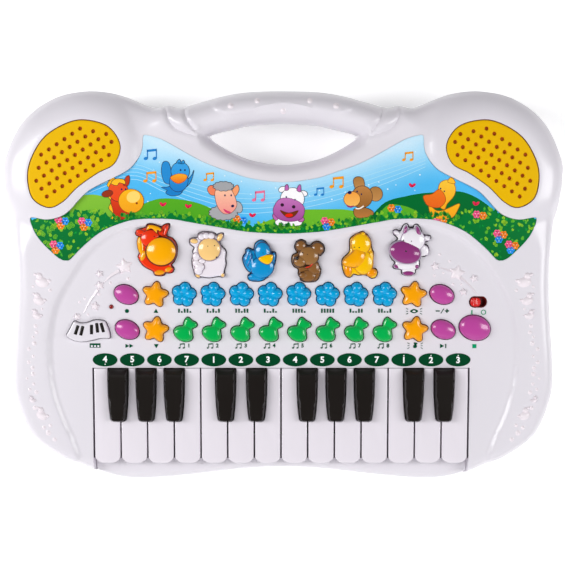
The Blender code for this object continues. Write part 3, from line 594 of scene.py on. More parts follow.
BODY = moulded("body_plastic", linear(225, 221, 228), 0.3, 0.2, 0.008)
# The reliefs are the casing's own plastic; their lighter, pinker tone is a painted highlight.
RELIEF_PAINTED_HIGHLIGHT = moulded("relief_plastic_painted_highlight", linear(240, 231, 237), 0.3, 0.2, 0.008)
KEY_WHITE = moulded("white_key_plastic", linear(232, 226, 234), 0.22, 0.3, 0.006)
KEY_BLACK = moulded("black_key_plastic", linear(22, 17, 14), 0.42, 0.0, 0.05, specular=0.3)
YELLOW = moulded("grille_plastic", linear(232, 182, 0), 0.5, 0.0, 0.03, 0.06, specular=0.1)
PURPLE = moulded("purple_plastic", linear(188, 72, 156), 0.2, 0.4, 0.04)
STAR = moulded("star_plastic", linear(250, 164, 0), 0.2, 0.4, 0.03)
BLUE = moulded("blue_plastic", linear(0, 164, 220), 0.18, 0.35, 0.03, specular=0.3)
GREEN = moulded("green_plastic", linear(0, 176, 78), 0.2, 0.4, 0.04)
RED = moulded("red_plastic", linear(214, 14, 10), 0.22, 0.4, 0.04)
DARK_RED = moulded("dark_red_plastic", linear(110, 8, 6), 0.4, 0.1, 0.05)
LENS = moulded("lamp_lens", linear(140, 14, 10), 0.1, 0.6, 0.02)
# Painted shade: the dark brown of the shadowed gap round each speaker grille.
GRILLE_GAP_SHADE = moulded("speaker_gasket_plastic", linear(96, 44, 16), 0.6, 0.0, 0.05)
CLOTH = moulded("speaker_cloth", linear(186, 92, 20), 0.8, 0.0, 0.2, 0.5, 900.0)
STEEL = moulded("steel", linear(200, 200, 204), 0.25, 0.0, 0.05, 0.03, 1500.0, 1.0)
RUBBER = moulded("grey_rubber", linear(58, 46, 50), 0.65, 0.0, 0.05, 0.1)
BOARD = moulded("circuit_board_green", linear(28, 110, 58), 0.4, 0.3, 0.1, 0.05)
DARK = moulded("dark_plastic", linear(34, 34, 38), 0.5, 0.1, 0.05, 0.05)
INK = printed("printed_ink")


# ---------------------------------------------------------------- frame helpers

def deck_place(node):
    """Where the middle of a CAD node's box lies in the deck frame."""
    low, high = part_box(node)
    centre = DECK.inverted() @ ((Vector(low) + Vector(high)) / 2)
    return centre.x, centre.y


def show(obj, mat, body="casing", node=None, slot=None):
    if mat is not None:
        wear(obj, mat)
    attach(obj, body)
    if node:
        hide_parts(node)
    return obj


def key_bay():
    half = KEY_PITCH * KEY_COUNT / 2
    return KEYBED_X - half - 0.75, KEYBED_X + half + 0.75


# ---------------------------------------------------------------- upper casing

CASING = symmetric(CASING_HALF)
RECESS = symmetric(RECESS_HALF)
OPENING = smooth(OPENING_HALF[:4] + [(54.0, 111.6), OPENING_HALF[4]] + OPENING_HALF[5:]
                 + flipped(OPENING_HALF[1:4] + [(54.0, 111.6)] + OPENING_HALF[4:-1])[::-1], 5)
KNUCKLES = [
    smooth_path([(88, 138), (82.5, 120), (71.5, 112.6), (58, 109.2)]),
    smooth_path([(73.2, 138), (71.6, 125), (67.5, 118), (61.5, 112.4), (54.5, 109)]),
]
SWIRL = smooth_path([(-56, 138), (-53.5, 133), (-47.3, 128.6), (-36.8, 126.7), (-25.7, 127.9), (-14.5, 131.2),
                     (-3, 133.1), (3, 133.1), (14.5, 131.2), (25.7, 127.9), (36.8, 126.7), (47.3, 128.6),
                     (53.5, 133), (56, 138)])
PICTURE = symmetric(PICTURE_HALF)
GRILLE_OUTLINE = smooth(GRILLE)


def casing_height(points):
    """Height of the upper casing's skin above the parting plane."""
    x, y = points[:, 0], points[:, 1]
    right = np.column_stack([np.abs(x), y])
    edge = to_outline(points, CASING)
    mouth = to_outline(points, OPENING)
    near_pod = ease(-np.hypot(right[:, 0] - 152, y - 90), -78, -50)
    on_handle = ease(y - 0.19 * right[:, 0], 92, 104) * (1 - ease(right[:, 0], 66, 96))
    near_mouth = 1 - ease(right[:, 0], 60, 80)
    reach = np.minimum(edge, mouth * near_mouth + 60 * (1 - near_mouth))
    radius = 9 + 13 * near_pod + 4 * on_handle
    top = FRAME_TOP + 2 * on_handle * round_over(reach, 14)
    height = RIM + (top - RIM) * round_over(reach, radius)
    outside_grille = np.maximum(-depth_in(right, GRILLE_OUTLINE), 0)
    bulge = 25.0
    pod = POD_TOP - bulge + np.sqrt(np.maximum(bulge ** 2 - np.minimum(outside_grille, bulge) ** 2, 0))
    height = soft_max(height, pod, 1.2)
    for line in KNUCKLES:
        height = height - 1.9 * np.exp(-(to_path(right, line) / 1.5) ** 2) * ease(y, 106, 114)
    height = height + 1.3 * np.exp(-((right[:, 0] - 76.5 + (131 - y) * 0.35) / 6.5) ** 2) * ease(y, 110, 120)
    height = height + 1.4 * np.exp(-((right[:, 0] - 93 + (131 - y) * 0.3) / 8) ** 2) * ease(y, 107, 121)
    behind = np.where(y > np.interp(x, *np.array(SWIRL[6:-6]).T), 1.0, -1.0) * to_path(points, SWIRL)
    height = height + 1.1 * ease(behind, -0.55, 0.55) * (1 - ease(right[:, 0], 49, 55)) * ease(y, 120, 126)
    inside = depth_in(points, RECESS)
    return height - (FRAME_TOP - PANEL_TOP) * ease(inside, -1.9, 1.9)


def soft_max(a, b, width):
    return (a + b + np.sqrt((a - b) ** 2 + width ** 2)) / 2 - width / 4


def casing_points():
    """Points that follow the casing's creases, so that the skin bends where they are."""
    points = []
    for step in np.arange(-3.5, 3.6, 0.5):
        points += offset(RECESS, step)
    for step in (1.5, 3, 5, 7, 9, 11, 13, 15.5, 18):
        ring = offset(GRILLE_OUTLINE, step)
        points += ring + flipped(ring)
    for line in KNUCKLES:
        for step in np.arange(-4.2, 4.3, 0.7):
            row = stroke(line, max(abs(2 * step), 0.01))
            half = len(row) // 2
            row = row[:half] if step > 0 else row[half:]
            points += row + flipped(row)
    for step in (-1.1, -0.55, 0, 0.55, 1.1):
        row = stroke(SWIRL, max(abs(2 * step), 0.01))
        points += row[:len(row) // 2] if step > 0 else row[len(row) // 2:]
    return points


def lip_cutter(left, right):
    """Clears the space over the front lip and leaves the lip's top rounded towards the front."""
    outline = rectangle(left, right, -160, BAY_SHELF - 0.01)

    def under(points):
        depth = depth_in(points, CASING)
        return 0.8 + (LIP_TOP - 0.8) * round_over(np.maximum(depth, 0), 4.5)

    points = []
    for inset in (0.02, 0.15, 0.4, 0.9, 1.6, 2.5, 3.5, 4.5, 6):
        points += offset(CASING, -inset)
    xs = np.arange(left, right, 3.0)
    points += [(x, y) for x in xs for y in (-155, -150, -135, -132)]
    points = np.array(points)
    points = points[within(points, outline)]
    points = points[to_outline(points, outline) > 0.2]
    verts, faces = triangulated(thinned(points, 0.1), [outline])
    return walled("lip_cutter", verts, faces, under(np.array(verts)), 40.0)


def cap_holes():
    return [prism("hole", clear_offset(shifted(shape, place), HOLE_GAP), 10, 30) for shape,
            place in all_caps()]


def upper_casing():
    skin = raised(
        "upper_casing_shell", CASING, PARTING, casing_height,
        insets=(0.12, 0.45, 1.0, 1.8, 2.9, 4.2, 5.8, 7.6, 9.6, 12, 15, 18, 21), spacing=3.0,
        extra=casing_points(), holes=[OPENING])
    left, right = key_bay()
    inner = offset(CASING, -3.2)
    cavity = loft("cavity", [level(inner, -5), level(inner, 9), level(offset(inner, -5), CAVITY_ROOF)])
    keep = [
        prism("keep_bay", rectangle(left - 2.2, right + 2.2, -150, BAY_REAR), LIP_TOP - 2.4, 20),
        prism("keep_opening", offset(OPENING, MOUTH_WALL), -6, 20),
    ]
    combine(cavity, keep)
    grille_both = [offset(GRILLE_OUTLINE, 0), flipped(GRILLE_OUTLINE)]
    cutters = [cavity, lip_cutter(left, right)]
    cutters.append(prism("bay", rectangle(left, right, BAY_SHELF, BAY_REAR), -5, 40))
    cutters.append(prism("picture_seat", PICTURE, LABEL_TOP - 0.7, 40))
    for outline in grille_both:
        cutters.append(prism("grille_seat", offset(outline, 0.35), POD_TOP - 2.3, 40))
        cutters.append(prism("grille_opening", offset(outline, -3), 10, 40))
    cutters += cap_holes()
    lamp_x, lamp_y = deck_place("record_lamp")
    cutters.append(prism("lamp_hole", ellipse(1.75, 1.75, centre=(lamp_x, lamp_y)), 10, 30))
    cutters.append(prism("switch_slot", shifted(rounded_rectangle(13.6, 8.6, 4.0), switch_place()), 10, 30))
    combine(skin, cutters)
    return show(skin, BODY, node="upper_casing", slot="body_plastic")


def switch_place():
    return deck_place("power_switch_body")


# ---------------------------------------------------------------- lower casing

def floor_level(x, y, height):
    return (x, y, (height - DECK_HEIGHT - y * math.sin(DECK_TILT)) / math.cos(DECK_TILT))


def lower_casing():
    outline = CASING
    rings = [level(offset(outline, -1.0), -PARTING), level(offset(outline, -0.4), -0.8),
             level(offset(outline, -1.2), -7)]
    for inset, height in ((3, 7), (3.7, 5), (4.8, 3.4), (6.3, 2.2), (8.2, FLOOR)):
        rings.append([floor_level(x, y, height) for x, y in offset(outline, -inset)])
    shell = loft("lower_casing_shell", rings)
    inner = offset(outline, -3.4)
    cavity = loft("lower_cavity", [level(inner, 5), level(inner, -5),
                                   [floor_level(x, y, 6.5) for x, y in offset(inner, -3)],
                                   [floor_level(x, y, 3.7) for x, y in offset(inner, -5.5)]])
    lower_edge = [p for p in OPENING_HALF if p[1] < 111]
    half = [(0.001, 160), (70, 160), (70, 113)] + lower_edge
    under = half + [(-x, y) for x, y in reversed(half[1:-1])]
    door_low, door_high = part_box("battery_door")
    x0, y0, x1, y1 = [v * 1000 for v in (door_low[0], door_low[1], door_high[0], door_high[1])]
    combine(cavity, [
        prism("keep_handle", offset(under, 2.2), -60, -5.8),
        prism("keep_opening", offset(OPENING, 2.2), -60, 10),
        prism("keep_battery", rectangle(x0 - 1, x1 + 1, y0 - 1, y1 + 1), -5, 23, WORLD_MM),
    ])
    cutters = [cavity, prism("under_handle", under, -60, -8), prism("opening", OPENING, -60, 60)]
    cutters.append(prism("battery_space", rectangle(x0 + 3, x1 - 3, y0 + 3, y1 - 3), -5, 20.5, WORLD_MM))
    cutters.append(prism("door_seat", rectangle(x0 - GAP, x1 + GAP, y0 - GAP, y1 + GAP), -5, 3.8, WORLD_MM))
    for x, y in screw_places():
        cutters.append(prism("screw_well", ellipse(4.2, 4.2, centre=(x, y)), -5, 3.3, WORLD_MM))
    combine(shell, cutters)
    feet = [revolved("foot", [(0, FLOOR + 1), (7, FLOOR + 1), (7, 0.7), (6.3, 0.1), (5.9, 0), (0, 0)],
                     place, 32, WORLD_MM)
            for place in ((150, 88), (-150, 88), (150, -96), (-150, -96), (0, -112))]
    combine(shell, feet, "UNION")
    show(shell, BODY, node="lower_casing", slot="body_plastic")
    for i, place in enumerate(screw_places()):
        screw(i, place)


def screw_places():
    return [(sx * x, y) for x, y in ((178, 105), (120, 128), (180, -60), (120, -128), (60, 40))
            for sx in (1, -1)]


def screw(index, place):
    head = revolved("casing_screw_%d" % (index + 1), [
        (0, 3.4), (3.1, 3.4), (3.1, 2.6), (2.5, 1.9), (1.4, 1.65), (0, 1.6)], place, 24, WORLD_MM)
    slots = [prism("slot", shifted(turned(rectangle(-1.9, 1.9, -0.35, 0.35), t), place), 0, 2.5, WORLD_MM)
             for t in (0.4, 0.4 + math.pi / 2)]
    combine(head, slots)
    show(head, STEEL, slot="steel")


def battery_door():
    low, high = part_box("battery_door")
    x0, y0, z0, x1, y1, z1 = [v * 1000 for v in (*low, *high)]
    outline = shifted(rounded_rectangle(x1 - x0, y1 - y0, 1.5), ((x0 + x1) / 2, (y0 + y1) / 2))
    inner = offset(outline, -0.5)
    door = loft("battery_door_panel", [level(inner, z0), level(outline, z0 + 0.5), level(outline, z1)],
                WORLD_MM)
    grooves = [prism("grip", rectangle(x0 + 14, x1 - 14, y - 0.6, y + 0.6), z0 - 1, z0 + 0.6, WORLD_MM)
               for y in np.arange(y1 - 14, y1 - 4, 2.4)]
    arrow = [((x0 + x1) / 2 + x, (y0 + y1) / 2 + y) for x, y in ((-5, -6), (5, -6), (0, 2))]
    grooves.append(prism("arrow", arrow, z0 - 1, z0 + 0.5, WORLD_MM))
    combine(door, grooves)
    show(door, BODY, "battery_door", "battery_door", "body_plastic")


# ---------------------------------------------------------------- grilles and speakers

def grille_holes():
    along = (-math.cos(GRILLE_TURN) * GRILLE_PITCH, -math.sin(GRILLE_TURN) * GRILLE_PITCH)
    down = (math.sin(GRILLE_TURN) * GRILLE_PITCH, -math.cos(GRILLE_TURN) * GRILLE_PITCH)
    x, y = GRILLE_FIRST_HOLE
    return [(x + m * along[0] + n * down[0], y + m * along[1] + n * down[1])
            for n, (first, last) in enumerate(GRILLE_ROWS) for m in range(first, last + 1)]


def speaker_grilles():
    for name, side in (("right_speaker_grille", 1), ("left_speaker_grille", -1)):
        outline = GRILLE_OUTLINE if side > 0 else flipped(GRILLE_OUTLINE)

        def height(points):
            depth = to_outline(points, rim)
            return POD_TOP - 1.0 + 0.6 * round_over(depth, 0.8) + 0.35 * ease(depth, 0, 16)

        rim = offset(outline, -0.3)
        plate = raised(name + "_plate", rim, POD_TOP - 2.0, height, insets=(0.1, 0.3, 0.8, 2, 5), spacing=4.0)
        holes = []
        for x, y in grille_holes():
            place = (-side * x, y)
            holes.append(revolved("hole", [
                (0, 20), (GRILLE_HOLE_RADIUS, 20), (GRILLE_HOLE_RADIUS, POD_TOP - 0.5),
                (GRILLE_HOLE_RADIUS + 0.8, POD_TOP + 0.3), (0, POD_TOP + 0.3)], place, 20))
        combine(plate, holes)
        show(plate, YELLOW, node=name, slot="yellow_plastic")
        # A dark ring sunk in the gap round the grille plate, as painted shade of that gap.
        gasket = prism(name.replace("grille", "gasket"), offset(outline, 0.33), POD_TOP - 2.25, POD_TOP - 0.9)
        combine(gasket, [prism("gasket_hole", offset(outline, -0.27), 0, 40)])
        show(gasket, GRILLE_GAP_SHADE, slot="speaker_black")
        cloth = prism(name.replace("grille", "cloth"), offset(outline, -1.2), POD_TOP - 2.3, POD_TOP - 2.05)
        show(cloth, CLOTH, slot="speaker_black")


# ---------------------------------------------------------------- keys

BLACK_AFTER = {0: -1.55, 1: -0.65, 2: 0.3, 4: -1.35, 5: 1.8, 7: -0.45, 8: 1.0, 9: 2.05, 11: -1.15, 12: 1.65}
WHITE_NAMES = ["f1", "g1", "a1", "b1", "c2", "d2", "e2", "f2", "g2", "a2", "b2", "c3", "d3", "e3"]
KEY_REAR = -61.5
WHITE_FRONT = -133.1
BLACK_FRONT = -101.3
BLACK_FRONT_HALF = 5.65
WHITE_SPACE = 1.15
WHITE_CORNER = (5.6, 4.4)
BLACK_CORNER = (2.7, 2.6)
BLACK_SIDE = [(7.3, KEY_REAR), (7.3, -70), (7.1, -80.5), (6.5, -91), (5.85, -97)]
NOTCH_GAP = 0.45            # clear space between a white key and the black key beside it


def white_centre(index):
    return KEYBED_X + (index - (KEY_COUNT - 1) / 2) * KEY_PITCH


def black_centre(index):
    return white_centre(index) + KEY_PITCH / 2 + BLACK_AFTER[index]


def corner(centre, along, up, quarter, flatness=1.0):
    """A quarter of an ellipse about its centre, anticlockwise from the given quarter; flatter above 1."""
    points = []
    for step in range(9):
        t = (quarter + step / 8) * math.pi / 2
        c, s = [math.copysign(abs(v) ** flatness, v) for v in (math.cos(t), math.sin(t))]
        points.append((centre[0] + along * c, centre[1] + up * s))
    return points


def black_edge(gap=0.0):
    """Right half of a black key's plan, from the rear to the middle of the front, moved out by gap."""
    along, up = BLACK_CORNER
    arc = corner((BLACK_FRONT_HALF - along, BLACK_FRONT + up), along + gap, up + gap, 3)[::-1]
    return [(across + gap, y) for across, y in BLACK_SIDE] + arc


def white_plan(index):
    """Plan outline of a white key: a rounded front, and notches for the black keys beside it."""
    x = white_centre(index)
    half = (KEY_PITCH - WHITE_SPACE) / 2
    along, up = WHITE_CORNER
    plan = corner((x - half + along, WHITE_FRONT + up), along, up, 2, 1.25)
    plan += corner((x + half - along, WHITE_FRONT + up), along, up, 3, 1.25)
    notch = black_edge(NOTCH_GAP)
    left, right = x - half, x + half
    if index in BLACK_AFTER:
        centre = black_centre(index)
        plan += [(right, notch[-1][1])] + [(centre - across, y) for across, y in reversed(notch)]
        right = centre - notch[0][0]
    else:
        plan.append((right, KEY_REAR))
    if index - 1 in BLACK_AFTER:
        centre = black_centre(index - 1)
        plan += [(centre + across, y) for across, y in notch] + [(left, notch[-1][1])]
        left = centre + notch[0][0]
    else:
        plan.append((left, KEY_REAR))
    return plan, left, right


def key_tail(left, right):
    tail = prism("tail", rectangle(left, right, KEY_REAR - 3, -45), 5.5, 14.5)
    bore = [(y, w) for y, w in ellipse(1.95, 1.95, count=16, centre=(-49, 10))]
    hole = loft("bore", [[(left - 1, y, w) for y, w in bore], [(right + 1, y, w) for y, w in bore]])
    return tail, hole


def white_key(index):
    plan, left, right = white_plan(index)
    x = white_centre(index)
    half = (KEY_PITCH - WHITE_SPACE) / 2 - 1.6
    node = "white_key_" + WHITE_NAMES[index]
    key = softened(node + "_cap", plan, 10.8, 17.2, 0.8, 4)
    tail, bore = key_tail(left, right)
    combine(key, [prism("hollow", rectangle(x - half, x + half, -131.2, -109.5), 5, 15.4)])
    combine(key, [tail], "UNION")
    combine(key, [bore])
    show(key, KEY_WHITE, node, node, "white_key_plastic")


def black_plan(x):
    """Plan outline of a black key: straight behind, then tapering to a rounded front."""
    right = [(x + across, y) for across, y in black_edge()]
    return [(2 * x - px, y) for px, y in right] + right[::-1]


def black_key(index):
    x = black_centre(index)
    plan = black_plan(x)

    def height(points):
        depth = to_outline(points, plan)
        draft = 0.5 + 0.9 * ease(-points[:, 1], 72, 98)
        side = 16.9 + 7.0 * depth / draft
        crown = 23.4 - 0.9 * ease(-points[:, 1], -BLACK_FRONT - 8, -BLACK_FRONT)
        ramp = 18.4 + (KEY_REAR - points[:, 1]) * 1.25
        return -soft_max(soft_max(-crown, -ramp, 0.3), -side, 0.5)

    names = {0: "f1", 1: "g1", 2: "a1", 4: "c2", 5: "d2", 7: "f2", 8: "g2", 9: "a2", 11: "c3", 12: "d3"}
    node = "black_key_%s_sharp" % names[index]
    key = raised(node + "_cap", plan, 10.8, height, insets=(0.15, 0.4, 0.6, 0.9, 1.3, 1.7, 2.2), spacing=1.2)
    tail, bore = key_tail(x - 7.1, x + 7.1)
    combine(key, [tail], "UNION")
    combine(key, [bore])
    show(key, KEY_BLACK, node, node, "black_plastic")


# ---------------------------------------------------------------- caps

CAP_TURN = math.radians(80)


def star_outline(count=60):
    points = []
    for i in range(count):
        t = 2 * math.pi * i / count
        lobe = 0.5 + 0.5 * math.cos(5 * (t - CAP_TURN))
        reach = 6.2 + 3.5 * lobe ** 1.15
        points.append((reach * math.cos(t), reach * math.sin(t)))
    return points


PETAL_DISTANCE = 4.75
PETAL_RADIUS = 4.2
PETAL_LENGTH = 4.5
PETAL_WIDTH = 3.6


def flower_outline(per_petal=12):
    points = []
    for k in range(5):
        for i in range(per_petal):
            phi = math.radians(-36 + 72 * i / per_petal)
            reach = (PETAL_DISTANCE * math.cos(phi)
                     + math.sqrt(PETAL_RADIUS ** 2 - (PETAL_DISTANCE * math.sin(phi)) ** 2))
            t = CAP_TURN + 2 * math.pi * k / 5 + phi
            points.append((reach * math.cos(t), reach * math.sin(t)))
    return points


NOTE = smooth([
    (-8.5, -1.5), (-8, 0.4), (-6.8, 1.7), (-4.4, 2.6), (-1.7, 2.7), (-1.2, 4.7), (-0.2, 7.3), (1.1, 8.8),
    (2.5, 8.9), (5.5, 6.4), (7.9, 5.2), (8.6, 3.7), (7.9, 2.2), (5.2, 0.8), (4.7, -0.6), (5.3, -5.1),
    (4.7, -7.3), (2.8, -8.5), (-0.2, -8.9), (-3.2, -8.1), (-5.7, -6.4), (-7.9, -3.8)], 3)
KEYBOARD_CAP = smooth([
    (-12.4, 6.7), (-10, 6), (-7.7, 5.3), (-3, 5.5), (1.7, 7.3), (5.9, 7.6), (10, 6.7), (11.2, 5), (12.8, 1),
    (14, -4.2), (13, -5.8), (7.8, -5.6), (-0.1, -7.4), (-7.9, -8.4), (-14.7, -6.6), (-18, -4), (-17.4, -2),
    (-15.6, 1), (-13.6, 5)], 4)
OVAL = ellipse(9.1, 6.8, math.radians(-22), 56)
STOP = ellipse(11.6, 9.2, math.radians(-15), 64)
FLOWER_PLACES = [(-73.6 + 21.2 * i, -6.1) for i in range(8)]
NOTE_PLACES = [(-72.7 + 21.15 * i, -32.3) for i in range(8)]
DOME_INSETS = (0.08, 0.3, 0.7, 1.2, 1.9, 2.7, 3.6)


def flanged(cap_object, outline):
    """Adds the flange that holds a cap under the panel."""
    wide = clear_offset(outline, 1.2)
    return combine(cap_object, [prism("flange", wide, BUTTON_BASE, 13.4)], "UNION")


def puffy(name, outline, edge, top, radius, spacing=1.3):
    """A cap that swells from its edge to a soft plateau."""
    def height(points):
        return edge + (top - edge) * round_over(to_outline(points, outline), radius)
    return raised(name, outline, BUTTON_BASE + 0.5, height, DOME_INSETS, spacing)


def oval_cap(node, outline, a, b, turn, place, top):
    shape = shifted(outline, place)

    def height(points):
        c, s = math.cos(turn), math.sin(turn)
        dx, dy = points[:, 0] - place[0], points[:, 1] - place[1]
        u, v = (dx * c + dy * s) / a, (-dx * s + dy * c) / b
        return 17.9 + (top - 17.9) * np.sqrt(np.clip(1 - u * u - v * v, 0, 1)) ** 0.9

    cap_object = raised(node + "_cap", shape, BUTTON_BASE + 0.5, height, DOME_INSETS, 1.3)
    flanged(cap_object, shape)
    show(cap_object, PURPLE, node, node, "purple_plastic")


def star_cap(node, place):
    shape = shifted(star_outline(), place)

    def height(points):
        depth = to_outline(points, shape)
        centre = np.hypot(points[:, 0] - place[0], points[:, 1] - place[1])
        return 18.2 + 2.4 * round_over(depth, 3.0) + 0.7 * (1 - np.clip(centre / 9, 0, 1) ** 2)

    cap_object = raised(node + "_cap", shape, BUTTON_BASE + 0.5, height, DOME_INSETS, 1.2)
    flanged(cap_object, shape)
    show(cap_object, STAR, node, node, "orange_plastic")


def flower_cap(place):
    shape = shifted(flower_outline(), place)

    def height(points):
        dx, dy = points[:, 0] - place[0], points[:, 1] - place[1]
        best = 17.6 + 1.9 * np.clip(1 - (np.hypot(dx, dy) / 5.5) ** 2, 0, 1)
        for k in range(5):
            t = CAP_TURN + 2 * math.pi * k / 5
            out = (dx * math.cos(t) + dy * math.sin(t) - PETAL_DISTANCE) / PETAL_LENGTH
            across = (dy * math.cos(t) - dx * math.sin(t)) / PETAL_WIDTH
            swell = np.sqrt(np.clip(1 - out ** 2 - across ** 2, 0, 1))
            best = np.maximum(best, 17.6 + 3.5 * swell)
        return best

    return flanged(raised("flower", shape, BUTTON_BASE + 0.5, height, (0.08, 0.25, 0.6, 1.1, 1.8), 0.7),
                   shape)


def note_cap(place):
    shape = shifted(NOTE, place)

    def height(points):
        depth = to_outline(points, shape)
        dx, dy = points[:, 0] - place[0] + 1.7, points[:, 1] - place[1] + 3.2
        head = np.clip(1 - (dx / 7.2) ** 2 - (dy / 6.0) ** 2, 0, 1)
        return 18.0 + 1.8 * round_over(depth, 2.2) + 1.6 * np.sqrt(head)

    return flanged(raised("note", shape, BUTTON_BASE + 0.5, height, (0.08, 0.25, 0.6, 1.1, 1.8), 0.9), shape)


def strip(node, caps, places, mat, slot):
    y = places[0][1]
    bar = prism("bar", rectangle(places[0][0] - 2, places[-1][0] + 2, y - 3, y + 3), 12.2, 13.8)
    show(merged(node + "_caps", caps + [bar]), mat, node, node, slot)


def piano_cap():
    node = "piano_button"
    place = deck_place(node)
    shape = shifted(KEYBOARD_CAP, (place[0] + 2.0, place[1] + 0.4))
    cap_object = puffy(node + "_cap", shape, 19.2, 20.4, 1.2, 2.0)
    flanged(cap_object, shape)
    show(cap_object, BODY, node, node, "body_plastic")
    bars = []
    for x, y, turn in ((-10.4, 0.6, -0.32), (-6.6, 0, -0.24), (0.6, 0.9, -0.02), (4.8, 2.2, 0.1),
                       (8.6, 2.4, 0.26)):
        bar = turned(rounded_rectangle(2.3, 7.2, 0.4, 3), turn)
        bars.append(softened("bar", shifted(bar, (place[0] + 2 + x, place[1] + 0.4 + y)), 19.8, 20.65,
                             0.15, 2))
    show(merged("piano_button_bars", bars), KEY_BLACK, node, slot="black_plastic")


# name: outline of the cap, as points around its centre
ANIMAL_OUTLINES = {
    "horse_button": [
        (-15, 13.2), (-12.5, 15.2), (-8, 16.3), (-6.4, 18.6), (-3.5, 19.1), (0, 18.2), (3.5, 16.8),
        (6.3, 18.6),
        (9.6, 19.1), (9.3, 16.5), (7.6, 12.5), (8, 9.8), (11.3, 8.6), (14.2, 5), (15, 0.8), (14.5, -4.2),
        (12.7, -8.5), (10.6, -11), (12.4, -13.8), (11.4, -16.4), (9, -17), (6.4, -17), (5, -18.6), (2, -19.1),
        (-1.5, -18.4), (-2.7, -15.6), (-7.2, -13.4), (-10.7, -10.6), (-13.6, -5.3), (-12.2, -2), (-13.4, 1.5),
        (-13.4, 5.8), (-11.5, 9.3), (-14.8, 11)],
    "sheep_button": [
        (-13.2, 10.2), (-12.4, 12), (-7.5, 12.7), (-6.8, 15.2), (-4.3, 16.6), (0.4, 16.9), (4.6, 16.2),
        (6.4, 14.4),
        (8.2, 15.5), (11.2, 15.9), (11, 13), (8.4, 9.5), (10.3, 5.9), (13.2, 2.7), (12.8, -3.3), (13.2, -6.9),
        (11.7, -12.6), (12.4, -14.7), (10.7, -16.5), (8.2, -15.8), (1, -16.9), (-5.3, -16.1), (-6.8, -17),
        (-9.2, -15.4), (-10, -12.6), (-11.4, -7.6), (-11.4, -2.6), (-9.8, -0.5), (-11, 2.3), (-9.8, 5.2),
        (-11, 6.6), (-12.8, 8)],
    "bird_button": [
        (1.1, 15.1), (-2.8, 12.6), (-4.1, 7.6), (-6.4, 8.7), (-8.5, 9.2), (-10, 7.6), (-10, 5.5),
        (-11.7, 3.3),
        (-12.1, 0.5), (-10.7, -3.8), (-8.5, -7.3), (-5.9, -9.1), (-8.2, -11.2), (-7.5, -14.1), (-3.6, -15.1),
        (1.4, -14.8), (5.7, -12.3), (8.5, -8.7), (10.7, -3.8), (12.1, 1.9), (11.7, 5.8), (10.2, 6.2),
        (9.2, 5.7),
        (7.1, 10.5), (4.3, 14)],
    "dog_button": [
        (-5.3, 15.5), (-8.5, 13.7), (-9.7, 10.2), (-8.5, 7.3), (-7.3, 6.3), (-8.9, 5.2), (-11.4, 3.8),
        (-11.9, -0.5),
        (-10.3, -4.1), (-7, -6.3), (-7.1, -9.7), (-6, -11.9), (-5, -14.4), (-1.8, -15.6), (3.9, -15.4),
        (6.8, -14),
        (8.9, -9.7), (8.9, -5.5), (7, -2.6), (7, 3.6), (8.9, 3.8), (11.7, 7.3), (11, 11.6), (7.5, 14.1),
        (3.9, 13.4),
        (1.8, 11.1), (-1.4, 11.6), (-2.1, 14.1)],
    "duck_button": [
        (1.7, 17.1), (-1.8, 15.4), (-5.8, 13.2), (-7.3, 10.4), (-7.3, 3.3), (-9, 0.4), (-12.5, -3.1),
        (-12.9, -6.7),
        (-11.8, -12.4), (-10, -15.6), (-7.5, -16.6), (-5.8, -15.2), (-4.5, -14), (-1.1, -14.9), (3.1, -14.5),
        (6, -15.2), (8.8, -17.2), (11.7, -16.3), (12.9, -13.1), (11.7, -10.6), (9.2, -9.7), (9.2, -5.3),
        (9.9, 1.8),
        (8.8, 3.6), (7.8, 9.7), (6.3, 13.2), (4.6, 15)],
    "cow_button": [
        (-2.9, 19.1), (-5, 18.2), (-6.5, 15), (-7.9, 13.6), (-10.4, 14.6), (-12.4, 13.9), (-11.8, 11.4),
        (-9.7, 9.3),
        (-9.6, 7.2), (-13.2, 4.7), (-14.8, 1.5), (-14.8, -3.5), (-13.2, -7), (-10.9, -9.2), (-12.4, -12.4),
        (-11.1, -13.8), (-6.5, -14.5), (-5.8, -17.3), (-3.3, -18.8), (1, -18.8), (3.5, -17), (3.8, -14.5),
        (6.3, -13.1), (6.7, -9.9), (6.5, -7.7), (8.1, -4.9), (11.7, -4.2), (13.4, -1.3), (12.4, 2.9),
        (10.1, 4),
        (10.1, 5.8), (12.7, 6.5), (14.9, 9), (13.8, 10.4), (10.2, 10.7), (8.5, 12.1), (6.7, 16.4),
        (4.5, 18.6),
        (2.8, 18.2), (2.2, 16.3), (-1.3, 16.3), (-1.8, 17.8)],
}
ANIMAL_CENTRES = {
    "horse_button": (-93.5, 27.1), "sheep_button": (-55.7, 23.4), "bird_button": (-17.7, 19.1),
    "dog_button": (18.3, 19.1), "duck_button": (56.5, 23.4), "cow_button": (93.7, 27.1),
}


def all_caps():
    """Outline and place of every cap that comes through the panel."""
    caps = [(OVAL, (-116.4, -6.1)), (OVAL, (-115.9, -32.3)), (OVAL, (117.5, -6.1)), (OVAL, (118.8, -32.3))]
    caps += [(star_outline(), place) for place in ((-94.9, -6.1), (-94.9, -32.3), (96.3, -6.1),
                                                   (97.7, -32.3))]
    caps.append((STOP, (142.2, -31.0)))
    place = deck_place("piano_button")
    caps.append((KEYBOARD_CAP, (place[0] + 2.0, place[1] + 0.4)))
    caps += [(flower_outline(), place) for place in FLOWER_PLACES]
    caps += [(NOTE, place) for place in NOTE_PLACES]
    caps += [(smooth(ANIMAL_OUTLINES[name], 3), place) for name, place in ANIMAL_CENTRES.items()]
    return caps


